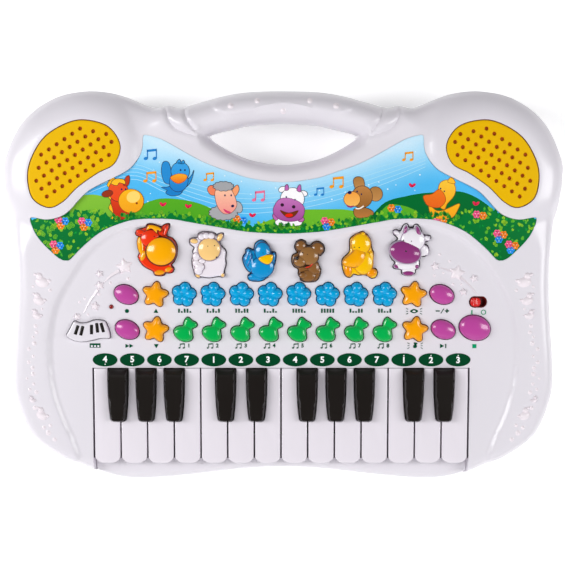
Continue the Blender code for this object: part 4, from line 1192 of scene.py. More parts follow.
def button_caps():
    for node, place in (("record_button", (-116.4, -6.1)), ("replay_button", (-115.9, -32.3)),
                        ("volume_button", (117.5, -6.1)), ("demo_button", (118.8, -32.3))):
        oval_cap(node, OVAL, 9.1, 6.8, math.radians(-22), place, 21.6)
    oval_cap("stop_button", STOP, 11.6, 9.2, math.radians(-15), (142.2, -31.0), 22.2)
    for node, place in (("tempo_up_button", (-94.9, -6.1)), ("tempo_down_button", (-94.9, -32.3)),
                        ("voice_button", (96.3, -6.1)), ("clap_button", (97.7, -32.3))):
        star_cap(node, place)
    strip("rhythm_button_strip", [flower_cap(place) for place in FLOWER_PLACES], FLOWER_PLACES, BLUE,
          "blue_plastic")
    strip("song_button_strip", [note_cap(place) for place in NOTE_PLACES], NOTE_PLACES, GREEN,
          "green_plastic")
    piano_cap()


# ---------------------------------------------------------------- animal caps

PAINTS = {
    "red": (238, 56, 18), "dark_red": (190, 40, 10), "amber": (250, 172, 0), "gold": (244, 156, 4),
    "cream": (248, 204, 130), "wool": (238, 230, 238), "blue": (14, 146, 208), "deep_blue": (8, 106, 176),
    "brown": (136, 92, 48), "light_brown": (150, 106, 58), "black": (24, 18, 20), "yellow": (250, 194, 2),
    "purple": (144, 54, 122), "white": (240, 236, 242), "orange": (246, 152, 2), "collar": (226, 60, 30),
}
PAINT = {name: moulded("paint_" + name, linear(*rgb), 0.18, 0.4, 0.03) for name, rgb in PAINTS.items()}


def blob(points, steps=4):
    return smooth(points, steps)


def oval(x, y, a, b, turn=0.0, count=36):
    return ellipse(a, b, math.radians(turn), count, (x, y))


ANIMAL_PARTS = {
    "horse_button": [
        ("amber", oval(-11.6, 3, 2.6, 7, 8), 18.6, 20.6), ("amber", oval(-9.8, -4.2, 2.2, 4.2, -20), 18.6,
                                                           20.8),
        ("red", oval(-4.5, 8.5, 7.2, 6.6, 10), 19.5, 21.8), ("red", oval(-11.6, 13.2, 3.4, 1.9, -12),
                                                             19.5, 21.0),
        ("red", blob([(5, 11), (6.2, 16.5), (9.4, 18.6), (8.8, 14.5), (7, 11)]), 19.5, 21.2),
        ("amber", blob([(-7, 14.5), (-6, 18), (-3, 18.6), (1, 17.6), (4, 15.6), (3, 13.4), (1.4, 14.6),
                        (0.5, 12.2),
                        (-1.2, 14), (-3.4, 15.6)]), 20.6, 22.2),
        ("amber", oval(3.6, -1, 11.6, 11.0), 20.0, 24.0), ("gold", oval(2.2, -16.6, 4.2, 2.3, 5), 18.6, 20.6),
        ("gold", oval(8.6, -14.4, 3.2, 2.1, 20), 18.6, 20.4),
        ("black", oval(-1.3, 10, 0.5, 0.55, 0, 12), 21.2, 21.95),
        ("black", oval(2.8, 10.4, 0.5, 0.55, 0, 12), 21.0, 21.7)],
    "sheep_button": [
        ("cream", oval(-10, 10.2, 2.9, 1.9, -8), 19.4, 20.8), ("cream", oval(9, 13, 1.9, 3.2, -35), 19.4,
                                                               20.8),
        ("cream", oval(1.2, 4.2, 8.6, 8.8, -10), 20.0, 22.8),
        ("wool", oval(-4.4, 13.4, 2.6, 2.4), 20.6, 22.4), ("wool", oval(-1, 14.2, 2.7, 2.5), 20.6, 22.6),
        ("wool", oval(2.8, 14, 2.7, 2.4), 20.6, 22.4), ("wool", oval(-6.8, -11.5, 3.2, 3.2), 19.6, 21.2),
        ("wool", oval(-8.6, -1.2, 2.5, 3.0), 19.6, 20.8), ("wool", oval(-8.6, -6, 2.6, 2.8), 19.6, 21.0),
        ("wool", oval(-6.0, -8.8, 3.7, 3.4), 19.8, 21.8), ("wool", oval(-4.2, -4.6, 2.4, 2.0), 19.6,
            20.9), ("cream", oval(-7.4, -15.4, 1.9, 1.2, -30), 19.2, 20.4),
        ("cream", oval(11, -14.9, 1.5, 1.5), 19.2, 20.3),
        ("black", oval(0.3, 6.6, 0.55, 0.6, 0, 12), 22.0, 22.85),
        ("black", oval(5.2, 7, 0.55, 0.6, 0, 12), 21.8, 22.6),
        ("black", oval(6.6, -1.6, 0.75, 0.7, 0, 12), 21.0, 21.95)],
    "bird_button": [
        ("blue", blob([(-8.6, 8.6), (-6.4, 7.8), (-4.6, 2), (-3.6, -4), (-6, -7), (-9.6, -3),
                       (-11.6, 1.6), (-10, 5)]), 19.4, 21.2),
        ("blue", oval(2.6, 6.2, 6.0, 7.8, 6), 19.8, 23.0), ("blue", oval(2.2, -4.6, 8.8, 8.2, 30), 19.6,
                                                            22.2),
        ("blue", blob([(-7, -10.6), (-3, -9), (2, -12.6), (-2, -14.4), (-6.6, -13.6)]), 19.2, 20.6),
        ("deep_blue", oval(-8.6, 3.4, 0.8, 4.0, -22), 20.4, 21.3),
        ("deep_blue", oval(-6.9, 0.6, 0.8, 4.4, -18), 20.6, 21.5),
        ("blue", oval(10.4, 2.4, 1.5, 3.6, -6), 19.4, 20.8),
        ("yellow", blob([(-0.8, 1.8), (3, 4.2), (7.6, 4.9), (10.2, 4.2), (9.6, 0.2), (6.6, -2.6),
                         (2.2, -1.2)]), 22.3, 23.8),
        ("amber", blob([(0.4, 1.5), (4.8, 1.2), (9.2, 2.2), (9.2, 1.8), (4.8, 0.7), (0.6, 1.1)]), 23.0,
         23.95),
        ("black", oval(2.8, 6, 0.45, 0.5, 0, 12), 22.4, 23.15),
        ("black", oval(6.6, 6.2, 0.4, 0.45, 0, 12), 22.0, 22.7)],
    "dog_button": [
        ("brown", oval(-5.4, 11, 3.9, 4.0), 19.6, 21.8), ("brown", oval(6.8, 8.9, 4.6, 4.6), 19.6, 21.8),
        ("light_brown", oval(0.4, 3.6, 7.6, 7.0, -15), 20.2, 23.0),
        ("light_brown", oval(-6.2, -0.6, 5.0, 4.2), 20.4, 23.4),
        ("brown", oval(0, -11.2, 5.8, 4.4), 19.4, 21.2), ("brown", oval(3.8, -4.4, 4.4, 6.0, 20), 19.4, 21.2),
        ("brown", oval(-3.6, -10.8, 3.2, 2.6), 19.8, 21.8), ("brown", oval(7.6, -7.4, 1.5, 2.4), 19.4, 20.6),
        ("collar", blob([(-1.6, -5.4), (1.8, -4.4), (4.4, -1.2), (3.6, -0.6), (1.2, -3.4), (-1.8, -4.4)]),
         21.0, 22.1),
        ("black", oval(-8.2, 1.8, 1.5, 1.3, 0, 16), 22.0, 23.6),
        ("black", oval(-4, 6.0, 0.45, 0.5, 0, 12), 22.2, 22.95),
        ("black", oval(-0.7, 5.0, 0.45, 0.5, 0, 12), 22.5, 23.2)],
    "duck_button": [
        ("yellow", oval(0.6, 8.0, 7.4, 8.0), 19.8, 22.6), ("yellow", oval(2.4, -5.4, 7.4, 9.2, 4), 19.4,
                                                           22.0),
        ("yellow", oval(2.2, 15.6, 1.5, 1.2, -20), 20.2, 21.4),
        ("orange", oval(-8.6, -10.8, 2.8, 5.2), 19.2, 21.0),
        ("orange", oval(8.6, -13.2, 3.6, 2.9, 20), 19.0, 20.8),
        ("yellow", oval(8.4, -1.6, 1.5, 4.4), 19.4, 20.8),
        ("amber", blob([(-12.2, -3.6), (-6, 2.0), (-2.4, 5.2), (3.6, 2.2), (3.6, -4.6), (-1.4, -8.8),
                        (-7.8, -9.2),
                        (-12.2, -7.6)]), 20.6, 23.5),
        ("black", oval(-4.5, 5.8, 0.45, 0.5, 0, 12), 22.0, 22.6),
        ("black", oval(-0.8, 5.6, 0.45, 0.5, 0, 12), 22.3, 22.9)],
    "cow_button": [
        ("white", oval(-10.4, 12.6, 2.4, 1.6, -25), 19.2, 20.6),
        ("white", oval(12, 8.6, 2.4, 1.7, -25), 19.2, 20.6),
        ("white", oval(11.4, -0.4, 2.0, 3.6, 12), 19.0, 20.2), ("white", oval(1.6, 7.2, 8.8, 8.4), 20.0,
                                                                22.4),
        ("purple", blob([(-5.6, 12.2), (-5.2, 15.8), (-3.4, 18), (-2.6, 17), (-3, 13.2)]), 20.8, 22.6),
        ("purple", blob([(4.2, 12), (3.4, 17), (4.6, 17.6), (6.2, 15.6), (7.4, 11.4)]), 20.8, 22.6),
        ("purple", oval(-4.0, -1.7, 12.0, 8.7, -14), 20.0, 23.8),
        ("white", oval(-3.2, -11.8, 7.2, 3.0), 19.2, 20.8),
        ("purple", oval(-10, -12.2, 2.2, 1.4, -15), 19.0, 20.4),
        ("purple", oval(4.8, -12.2, 1.6, 1.5), 19.0, 20.4),
        ("purple", oval(-1.4, -17.2, 4.2, 1.8), 19.0, 20.6),
        ("black", oval(-5.6, 7.1, 0.5, 0.6, 0, 12), 21.6, 22.2),
        ("black", oval(0.3, 6.5, 0.5, 0.6, 0, 12), 22.0, 22.6),
        ("black", oval(-3.7, -0.7, 0.8, 0.8, 0, 12), 23.4, 23.95)],
}
ANIMAL_BASE = {"horse_button": "red", "sheep_button": "wool", "bird_button": "blue", "dog_button": "brown",
               "duck_button": "yellow", "cow_button": "white"}
ANIMAL_SLOTS = {"horse_button": "horse_red", "sheep_button": "sheep_cream", "bird_button": "bird_blue",
                "dog_button": "dog_brown", "duck_button": "duck_yellow", "cow_button": "cow_white"}


# Darker tints round each part of an animal cap: painted shade in the crease where the part meets the one
# below.
ANIMAL_CREASE_SHADES = {
    "horse_button": (104, 30, 14), "sheep_button": (150, 130, 142), "bird_button": (6, 62, 116),
    "dog_button": (66, 38, 20), "duck_button": (200, 128, 6), "cow_button": (164, 146, 170),
}
# Colour of the ring round each animal cap: partly its dark painted edge, partly painted shade of the gap
# round it.
ANIMAL_EDGE_PAINT_AND_GAP_SHADE = {
    "horse_button": (84, 26, 20), "sheep_button": (84, 66, 76), "bird_button": (10, 48, 92),
    "dog_button": (50, 30, 20), "duck_button": (116, 62, 14), "cow_button": (44, 32, 44),
}


def swelling(name, outline, edge, top, radius):
    """A painted part of an animal cap, or the painted crease shade round one, swelling from its edge."""
    def height(points):
        return edge + (top - edge) * round_over(to_outline(points, outline), radius)

    insets = [radius * k for k in (0.03, 0.1, 0.22, 0.4, 0.6, 0.8)]
    return raised(name, outline, 18.3, height, insets, max(radius * 0.3, 0.35))


def animal_caps():
    for node, place in ANIMAL_CENTRES.items():
        shape = shifted(smooth(ANIMAL_OUTLINES[node], 3), place)
        edge_paint_and_gap_shade = moulded(node + "_edge_paint_and_gap_shade", linear(*ANIMAL_EDGE_PAINT_AND_GAP_SHADE[node]), 0.3)
        painted_crease_shade = moulded(node + "_painted_crease_shade", linear(*ANIMAL_CREASE_SHADES[node]), 0.3)
        crease_shades = []

        def body_height(points, shape=shape):
            return 17.8 + 2.0 * round_over(to_outline(points, shape), 1.6)

        base = raised(node + "_cap", shape, BUTTON_BASE + 0.5, body_height, (0.08, 0.3, 0.7, 1.2, 1.7), 2.0)
        flanged(base, shape)
        show(base, PAINT[ANIMAL_BASE[node]], node, node, ANIMAL_SLOTS[node])
        # The ring round the cap's foot is partly its dark painted edge and partly painted shade in the hole
        # gap.
        show(prism(node + "_edge", offset(shape, 0.1), 17.2, 18.5), edge_paint_and_gap_shade, node, slot=ANIMAL_SLOTS[node])
        for i, (paint, outline, edge, top) in enumerate(ANIMAL_PARTS[node]):
            area_outline = shifted(outline, place)
            xs, ys = zip(*area_outline)
            radius = min(max(xs) - min(xs), max(ys) - min(ys)) / 2

            piece = swelling("%s_%s_%d" % (node, paint, i), area_outline, edge, top, radius)
            show(piece, PAINT[paint], node, slot=ANIMAL_SLOTS[node])
            # Each part gets a slightly larger, lower copy in the darker tint, as painted crease shade round
            # it.
            if paint != "black" and not (node == "bird_button" and paint == "amber"):
                crease_shades.append(swelling("line", offset(area_outline, 0.3), edge - 0.2, top - 0.3, radius + 0.3))
        show(merged(node + "_lines", crease_shades), painted_crease_shade, node, slot=ANIMAL_SLOTS[node])


# ---------------------------------------------------------------- printing

class Print:
    """Thin raised areas of ink, each with its own colour, gathered into one object."""

    def __init__(self, base):
        self.base = base
        self.verts, self.faces, self.colours = [], [], []

    def area(self, outline, colour, layer=0, clip=None, shade=None):
        """Adds a flat area; shade is a second colour that it fades to at its lower edge."""
        if clip is None:
            points = [Vector((x, y, 0)) for x, y in outline]
            verts, tris = outline, tessellate_polygon([points])
        else:
            verts, tris = overlap(outline, clip)
        if not tris:
            return
        start, count = len(self.verts), len(verts)
        top = self.base + 0.012 * (layer + 1)
        self.verts += [(x, y, top) for x, y in verts] + [(x, y, self.base - 0.1) for x, y in verts]
        low = min(y for _, y in verts)
        high = max(y for _, y in verts)
        tints = []
        for _, y in verts:
            t = (y - low) / max(high - low, 1e-6)
            tints.append(mix(shade, colour, t) if shade else colour)
        sides = set()
        oriented = []
        for tri in tris:
            if area([verts[i] for i in tri]) < 0:
                tri = tri[::-1]
            oriented.append(tuple(tri))
        for tri in oriented:
            for i in range(3):
                sides.add((tri[i], tri[(i + 1) % 3]))
        shell = oriented + [tuple(i + count for i in reversed(tri)) for tri in oriented]
        shell += [(b, a, a + count, b + count) for a, b in sides if (b, a) not in sides]
        for face in shell:
            self.faces.append(tuple(i + start for i in face))
            self.colours += [tints[i % count] for i in face]

    def edged(self, outline, colour, layer, edge=(40, 34, 40), width=0.35, shade=None, clip=None):
        self.area(offset(outline, width), edge, layer, clip)
        self.area(outline, colour, layer + 1, clip, shade)

    def build(self, name):
        mesh = bpy.data.meshes.new(name)
        mesh.from_pydata([DECK @ Vector(v) for v in self.verts], [], self.faces)
        ink = mesh.color_attributes.new("ink", "FLOAT_COLOR", "CORNER")
        values = np.ones((len(self.colours), 4))
        values[:, :3] = [linear(*c) for c in self.colours]
        ink.data.foreach_set("color", values.ravel())
        obj = bpy.data.objects.new(name, mesh)
        bpy.context.scene.collection.objects.link(obj)
        return obj


def mix(a, b, t):
    return tuple(a[k] + (b[k] - a[k]) * t for k in range(3))


def overlap(outline, clip):
    """Triangles of the area that two outlines share."""
    outline, clip = anticlockwise(outline), anticlockwise(clip)
    coords = [Vector(p) for p in outline] + [Vector(p) for p in clip]
    count = len(outline)
    faces = [list(range(count)), list(range(count, len(coords)))]
    result = delaunay_2d_cdt(coords, [], faces, 1, 1e-5)
    verts = [(v.x, v.y) for v in result[0]]
    tris = [tuple(f) for f, source in zip(result[2], result[5]) if 0 in source and 1 in source]
    return verts, tris


def sky_colour(x, y):
    """Pale near the pods and the top edge, deeper blue towards the ground in the middle."""
    pale, deep = np.array((196, 231, 250)), np.array((78, 184, 240))
    height = np.interp(abs(x), (0, 60, 105), (77, 92, 110))
    t = np.clip((height - y) / 34, 0, 1) ** 0.8
    glow = np.exp(-((abs(x) - 98) / 14) ** 2 - ((y - 96) / 10) ** 2) * 0.6
    return tuple(deep * t + pale * (1 - t) + (np.array((235, 248, 255)) - pale) * glow)


def picture():
    """The printed farm scene between the speaker pods."""
    label = offset(PICTURE, -0.25)
    base = LABEL_TOP - 0.5
    points = np.array([(x, y) for x in np.arange(-186, 186, 3.0) for y in np.arange(18, 112, 3.0)])
    points = points[within(points, label)]
    points = points[to_outline(points, label) > 1.2]
    verts, faces = triangulated(points, [label])
    sheet = walled("picture_label", verts, faces, np.full(len(verts), LABEL_TOP), base)
    inverse = DECK.inverted()
    ink = sheet.data.color_attributes.new("ink", "FLOAT_COLOR", "POINT")
    for vertex, item in zip(sheet.data.vertices, ink.data):
        place = inverse @ vertex.co
        item.color = (*linear(*sky_colour(place.x, place.y)), 1)
    show(sheet, INK, node="picture_panel", slot="printed_panel")
    art = Print(LABEL_TOP)
    landscape(art, label)
    farm_animals(art)
    foreground_grass(art, label)
    small_marks(art)
    show(art.build("picture_art"), INK, slot="printed_panel")


def landscape(art, label):
    random.seed(7)
    for k in range(5):
        line = smooth_path([(-150, 66 + 2.4 * k), (-112, 79 + 2.6 * k), (-85, 69 + 3.1 * k),
                            (-40, 55 + 3.6 * k),
                            (0, 56 + 3.4 * k), (40, 64 + 3.8 * k), (80, 78 + 3.2 * k),
                            (104, 88 + 2.4 * k)], 6)
        art.area(stroke(line, 0.45), (168, 220, 247), 0, label)
    far = (0, 118, 50)
    hills = [
        ([(-165, 40), (-158, 62), (-144, 67.6), (-130, 66), (-112, 59), (-100, 40)], (160, 205, 70),
         (96, 170, 40)),
        ([(-120, 40), (-108, 57), (-96, 63.5), (-84, 65), (-66, 62.5), (-52, 57), (-42, 48), (-36, 38)],
         (112, 192, 42), (60, 150, 30)),
        ([(-26, 38), (-8, 50), (8, 56), (30, 57), (48, 56.5), (62, 52), (76, 38)], (140, 204, 50),
         (90, 172, 40)),
        ([(62, 38), (72, 60), (92, 67), (112, 69.5), (132, 69.5), (150, 60), (165, 44), (178, 38), (120, 34)],
         far, (0, 96, 44)),
        ([(66, 38), (74, 58), (86, 60), (100, 54), (110, 40)], (118, 192, 44), (70, 160, 36)),
        ([(118, 36), (130, 50), (148, 55), (164, 50), (172, 40), (150, 24)], (118, 192, 44), (60, 150, 36)),
    ]
    for i, (points, top, foot) in enumerate(hills):
        art.area(smooth(points, 6), top, 1 + i * 0.5, label, foot)
    bushes(art, label)


def ground_line(x):
    """Top of the bushes along the picture's lower edge."""
    return np.interp(abs(x), (0, 30, 60, 83, 100, 112, 125, 140, 152, 170, 185),
                     (45.0, 45.5, 50.0, 53.5, 53.0, 53.0, 52.0, 55.0, 56.0, 54.0, 50.0))


def bushes(art, label):
    """Dark leafy ground cover with paler leaves, and clusters of blossom."""
    edge = [(x, ground_line(x) + 1.4 * math.sin(x * 0.9) + 0.9 * math.sin(x * 2.3 + 1))
            for x in np.arange(-186, 187, 1.5)]
    art.area([(-190, 10)] + edge + [(190, 10)], (0, 138, 56), 5, label, (0, 104, 46))
    greens = [(0, 118, 50), (10, 148, 56), (0, 128, 54), (70, 172, 50)]
    for _ in range(520):
        x, y = bush_place()
        size = random.uniform(1.5, 2.9)
        leaf = turned([(0, -size * 0.2), (size * 0.34, size * 0.4), (0, size), (-size * 0.34, size * 0.4)],
                      random.uniform(-1.1, 1.1))
        art.area(shifted(leaf, (x, y)), random.choice(greens), 6 + random.randrange(5), label)
    for _ in range(420):
        x, y = bush_place()
        colour = mix((88, 184, 48), (158, 208, 46), random.random())
        sprig(art, (x, y), random.uniform(3.2, 6.4) if x < -100 else random.uniform(2.4, 4.2), colour, label)
    pink, blue, orange = (255, 92, 146), (38, 148, 245), (255, 138, 36)
    clusters = [
        (-163, 47.5, (pink, blue, orange)), (-146, 46.5, (pink, blue, orange)),
        (-167, 29.5, (pink, blue, orange)),
        (-32, 48, (orange, blue)), (32.4, 46.8, (pink, orange, blue)), (81.4, 56.2, (orange, blue)),
        (114.6, 47.6, (pink, orange, blue)), (144, 51.5, (pink, orange)), (159.3, 37.5, (pink, orange, blue)),
        (168, 29.5, (pink, orange, blue)),
    ]
    for x, y, colours in clusters:
        for k, colour in enumerate(colours):
            t = 2.4 - 2.1 * k
            blossom(art, (x + 2.8 * math.cos(t), y + 2.6 * math.sin(t)), 3.2, colour, label)


def bush_place():
    """A random place among the bushes, which are deeper under the speaker pods."""
    if random.random() < 0.4:
        x = random.uniform(-105, 105)
        return x, ground_line(x) + 1 - random.uniform(0, 11)
    x = math.copysign(random.uniform(105, 184), random.random() - 0.5)
    return x, ground_line(x) + 1 - random.uniform(0, 37)


def sprig(art, place, length, colour, label, layer=12):
    """A fern-like sprig: pairs of slim leaves along a stem, kept inside the label."""
    turn = random.uniform(-0.9, 0.9)
    leaves = [([(0, 0), (0.22, length * 0.5), (0, length), (-0.22, length * 0.5)], turn, 0.0)]
    for k in range(4):
        for side in (1, -1):
            reach = length * (0.5 - 0.08 * k)
            leaf = [(0, 0), (0.32, reach * 0.5), (0, reach), (-0.32, reach * 0.5)]
            leaves.append((leaf, turn + side * 0.75, length * (0.12 + 0.2 * k)))
    for leaf, lean, along in leaves:
        root = (place[0] - along * math.sin(turn), place[1] + along * math.cos(turn))
        shape = shifted(turned(leaf, lean), root)
        if within(shape, label).all():
            art.area(shape, colour, layer)


def blossom(art, place, size, colour, label):
    for k in range(6):
        t = math.pi * k / 3
        petal = ellipse(size * 0.36, size * 0.36, 0, 10, (place[0] + size * 0.58 * math.cos(t),
                                                            place[1] + size * 0.58 * math.sin(t)))
        art.area(petal, colour, 13, label)
    art.area(ellipse(size * 0.62, size * 0.62, 0, 12, place), colour, 13, label)
    for k in range(3):
        t = 2 * math.pi * k / 3 + 0.5
        art.area(ellipse(size * 0.15, size * 0.15, 0, 8, (place[0] + size * 0.4 * math.cos(t),
                                                            place[1] + size * 0.4 * math.sin(t))),
                 mix(colour, (255, 255, 255), 0.55), 14, label)


def scalloped(x, y, a, b, bumps, depth):
    """A woolly oval."""
    outline = []
    for i in range(bumps * 6):
        t = 2 * math.pi * i / (bumps * 6)
        swell = 1 + depth * abs(math.sin(bumps * t / 2))
        outline.append((x + a * swell * math.cos(t), y + b * swell * math.sin(t)))
    return outline


def foreground_grass(art, label):
    """Sprigs in front of the animals' feet."""
    for low, high in ((-127, -106), (-56, -30), (-9, 17), (46, 70), (104, 132)):
        for _ in range(26):
            x = random.uniform(low, high)
            y = ground_line(x) - random.uniform(0.5, 4.5)
            colour = mix((0, 120, 48), (96, 184, 48), random.random())
            sprig(art, (x, y), random.uniform(2.6, 4.4), colour, label, 28)


def farm_animals(art):
    """Six generic farm animals, drawn with a dark line round each part."""
    ink = (44, 36, 44)

    def part_at(cx, cy):
        def draw(colour, outline, layer, shade=None, line=ink, width=0.35):
            art.edged(shifted(outline, (cx, cy)), colour, layer, line, width, shade)
        return draw

    def eyes(cx, cy, gap, layer, size=0.6, drop=0.0):
        for x, y in ((cx, cy), (cx + gap, cy - drop)):
            art.area(ellipse(size, size * 1.25, 0, 12, (x, y)), (30, 30, 80), layer)

    draw = part_at(-118, 63)
    draw((250, 186, 30), blob([(-6, 17), (-11, 12), (-8, 8), (-11, 4), (-8, 0), (-10, -5), (-7, -9),
                               (-8, -13),
                               (-3, -12), (-2, 6)]), 15)
    draw((224, 70, 30), blob([(-8, 2), (-7, -6), (-5, -13), (1, -13), (5, -10), (4, -4), (2, 6)]), 17,
         (190, 40, 20))
    draw((228, 84, 40), oval(-3, 7.4, 7, 7.6, 12), 19, (236, 70, 30))
    draw((150, 50, 24), oval(-11, 5.4, 4.0, 2.3, 15), 21)
    draw((190, 60, 30), blob([(1, 12), (2.6, 17), (5, 18.4), (5.2, 14.6), (4, 11.4)]), 21)
    draw((250, 190, 40), blob([(-8, 13), (-5, 16), (1, 15.6), (2, 12.6), (-2, 13.6), (-4, 11.6)]), 23)
    draw((248, 182, 28), oval(6.4, 0, 9.1, 8.6), 23, (240, 160, 30), (150, 70, 20))
    art.area(ellipse(5, 4.2, 0.3, 24, (-110, 66)), (252, 214, 110), 25)
    art.area(ellipse(0.8, 0.8, 0, 12, (-107.5, 61.4)), (140, 60, 20), 26)
    eyes(-118.5, 71.6, 3.0, 26)

    draw = part_at(-77, 80)
    draw((40, 140, 210), blob([(-11, 11), (-7, 11), (-5, 3), (-6, -4), (-10, -3), (-12, 4)]), 15)
    draw((40, 140, 210), blob([(6, -3), (10, 2), (11.4, 5), (9, -3), (5, -7)]), 15)
    draw((30, 128, 200), blob([(-12, -7), (-8, -7), (-3, -5), (3, -8), (1, -12), (-5, -13), (-9, -11),
                               (-8, -9)]), 17)
    draw((52, 154, 222), oval(0.4, -2.6, 6.6, 7.6, -20), 19, (30, 124, 200))
    draw((62, 164, 230), oval(1.6, 4.6, 6.6, 6.8), 21, (44, 146, 218))
    draw((52, 154, 222), blob([(-1, 10.6), (1, 13.4), (2.2, 11.4), (4, 12.6), (4.4, 10)]), 21)
    draw((250, 176, 44), blob([(-5.4, 0.4), (0, 2.8), (6.2, 1.8), (5, -1.8), (0.4, -4), (-3.6, -2.4)]), 23,
         (240, 110, 30), (160, 70, 20))
    eyes(-75.2, 85.6, 3.2, 25)

    draw = part_at(-42.5, 64)
    draw((168, 168, 172), scalloped(-1.5, -9.6, 9.6, 4.8, 14, 0.12), 15)
    draw((176, 176, 180), oval(9.4, -5.4, 2.8, 4.2, 20), 15)
    draw((240, 130, 90), blob([(-6, 7), (-10, 10.4), (-13, 8), (-11, 4), (-7, 3.6)]), 17)
    draw((246, 160, 110), blob([(5, 6.6), (8.6, 10.6), (10, 7.6), (8, 3.4), (5.4, 2.6)]), 17)
    draw((250, 200, 166), blob([(-7.4, 6), (-2, 9), (4, 7.4), (7.6, 0), (8, -5), (4, -9.6), (-1.6, -9.8),
                                (-6, -4)]), 19,
         (242, 150, 140), (110, 70, 60))
    draw((164, 164, 168), scalloped(-1.4, 9.8, 6.6, 3.0, 12, 0.16), 21)
    art.area(ellipse(1.2, 1.0, 0.3, 16, (-37.2, 59.4)), (34, 30, 74), 23)
    art.area(smooth([(-44, 57.4), (-41, 56), (-38.6, 55), (-39.4, 54), (-42.4, 54.8)], 4), (214, 60, 110), 23)
    eyes(-42.8, 67.2, 4.6, 23)

    draw = part_at(4, 58)
    draw((250, 246, 250), blob([(-7.6, -7.6), (7.6, -7.6), (8.2, -12.6), (-8.2, -12.6)]), 15)
    draw((190, 104, 170), oval(-9.8, -6.4, 1.8, 2.6, 20), 17)
    draw((190, 104, 170), oval(9, -8.4, 2.2, 1.8), 17)
    draw((250, 246, 250), oval(-4.8, 13.6, 2.6, 1.8, 25), 17)
    draw((250, 246, 250), oval(11, 10.6, 2.6, 1.8, -20), 17)
    draw((252, 250, 252), oval(2.6, 6.6, 8.6, 8), 19)
    draw((190, 100, 176), blob([(-2.6, 13), (-2.4, 16), (-1, 17), (-0.2, 13.6)]), 21)
    draw((190, 100, 176), blob([(6, 13), (7.4, 16.4), (8.6, 16.4), (8.6, 12)]), 21)
    draw((196, 116, 184), blob([(-11, 0), (-7, 6), (0, 7), (8, 4), (11.4, -1), (9.4, -7.6), (2, -9.8),
                                (-6, -8.6),
                                (-10.6, -4.6)]), 21, (160, 76, 150), (110, 40, 100))
    mouth = smooth([(-6.6, -1.6), (0, -3.4), (7.2, -1.8), (3.6, -6.6), (-1.6, -7)], 4)
    art.area(shifted(mouth, (4, 58)), (112, 50, 20), 24)
    art.area(ellipse(2.9, 1.3, 0.1, 16, (4.2, 52.6)), (232, 36, 20), 25)
    for x, y in ((-0.8, 60.2), (7.6, 58.8)):
        art.area(ellipse(1.35, 1.25, 0, 14, (x, y)), (50, 26, 46), 24)
    eyes(2.2, 66.0, 6.4, 24, 0.55, 2)

    draw = part_at(56, 65)
    draw((156, 108, 56), blob([(-4, -8), (4, -7), (10, -10), (8, -13), (-2, -14)]), 15, (190, 120, 60))
    draw((170, 120, 64), blob([(-4.6, 13), (-2, 15.6), (2, 14.6), (3.4, 10), (2, 6.6), (-2.6, 6.6)]), 17,
         (196, 140, 80))
    draw((170, 120, 64), oval(11.6, 3.2, 5, 5.2, 20), 17, (196, 140, 80))
    draw((190, 130, 70), oval(1.6, 1, 7.6, 8, -15), 19, (150, 98, 46))
    draw((244, 160, 66), oval(-5.6, -0.6, 5.9, 5.4), 21, (250, 190, 96), (120, 66, 24))
    art.area(ellipse(1.5, 1.2, 0.2, 16, (48.6, 69.2)), (30, 26, 80), 24)
    art.area(smooth([(46.4, 60.4), (49, 59.4), (52, 59.8), (50, 58.2), (47.4, 58.6)], 4), (150, 50, 110), 24)
    art.area(stroke(smooth_path([(53, 57.6), (56, 57.6), (59, 59.4)], 4), 0.9), (250, 240, 230), 24)
    eyes(54.1, 70, 3.2, 24, 0.55, 2)

    draw = part_at(114, 64)
    draw((250, 184, 30), blob([(-7, -4), (-5, -12), (2, -14), (10, -13), (14, -7), (15, -3), (8, -6),
                               (3, -8), (-2, -8)]), 15,
         (250, 160, 30), (170, 90, 20))
    draw((252, 200, 60), blob([(0, 10), (4, 14), (9, 13.4), (12, 9), (11, 3), (6, -3), (4, -7), (0, -3)]), 17,
         (248, 170, 30), (170, 90, 20))
    draw((240, 120, 30), blob([(-11, 2.8), (-5, 4), (0, 7.4), (4, 3.6), (4.6, -1.6), (0, -5.6),
                               (-7, -4.6), (-10, -1.4)]), 19,
         (232, 100, 30), (150, 60, 20))
    draw((250, 190, 50), blob([(6.6, 13), (8.4, 16), (10.6, 14.8), (11.6, 12)]), 19, None, (170, 90, 20))
    eyes(115.2, 72.2, 2.8, 22, 0.5, 2)


def quaver(place, size, colour, art, layer=15):
    """A beamed pair of notes."""
    x, y = place
    for dx in (-0.45, 0.55):
        art.area(ellipse(size * 0.24, size * 0.18, 0.3, 12, (x + dx * size - size * 0.18,
                                                             y - size * 0.5)), colour, layer)
        art.area(rectangle(x + dx * size - size * 0.04, x + dx * size + size * 0.07, y - size * 0.5,
                           y + size * 0.45),
                 colour, layer)
    beam = [(x - 0.5 * size, y + 0.22 * size), (x + 0.62 * size, y + 0.34 * size),
            (x + 0.62 * size, y + 0.6 * size), (x - 0.5 * size, y + 0.48 * size)]
    art.area(beam, colour, layer)


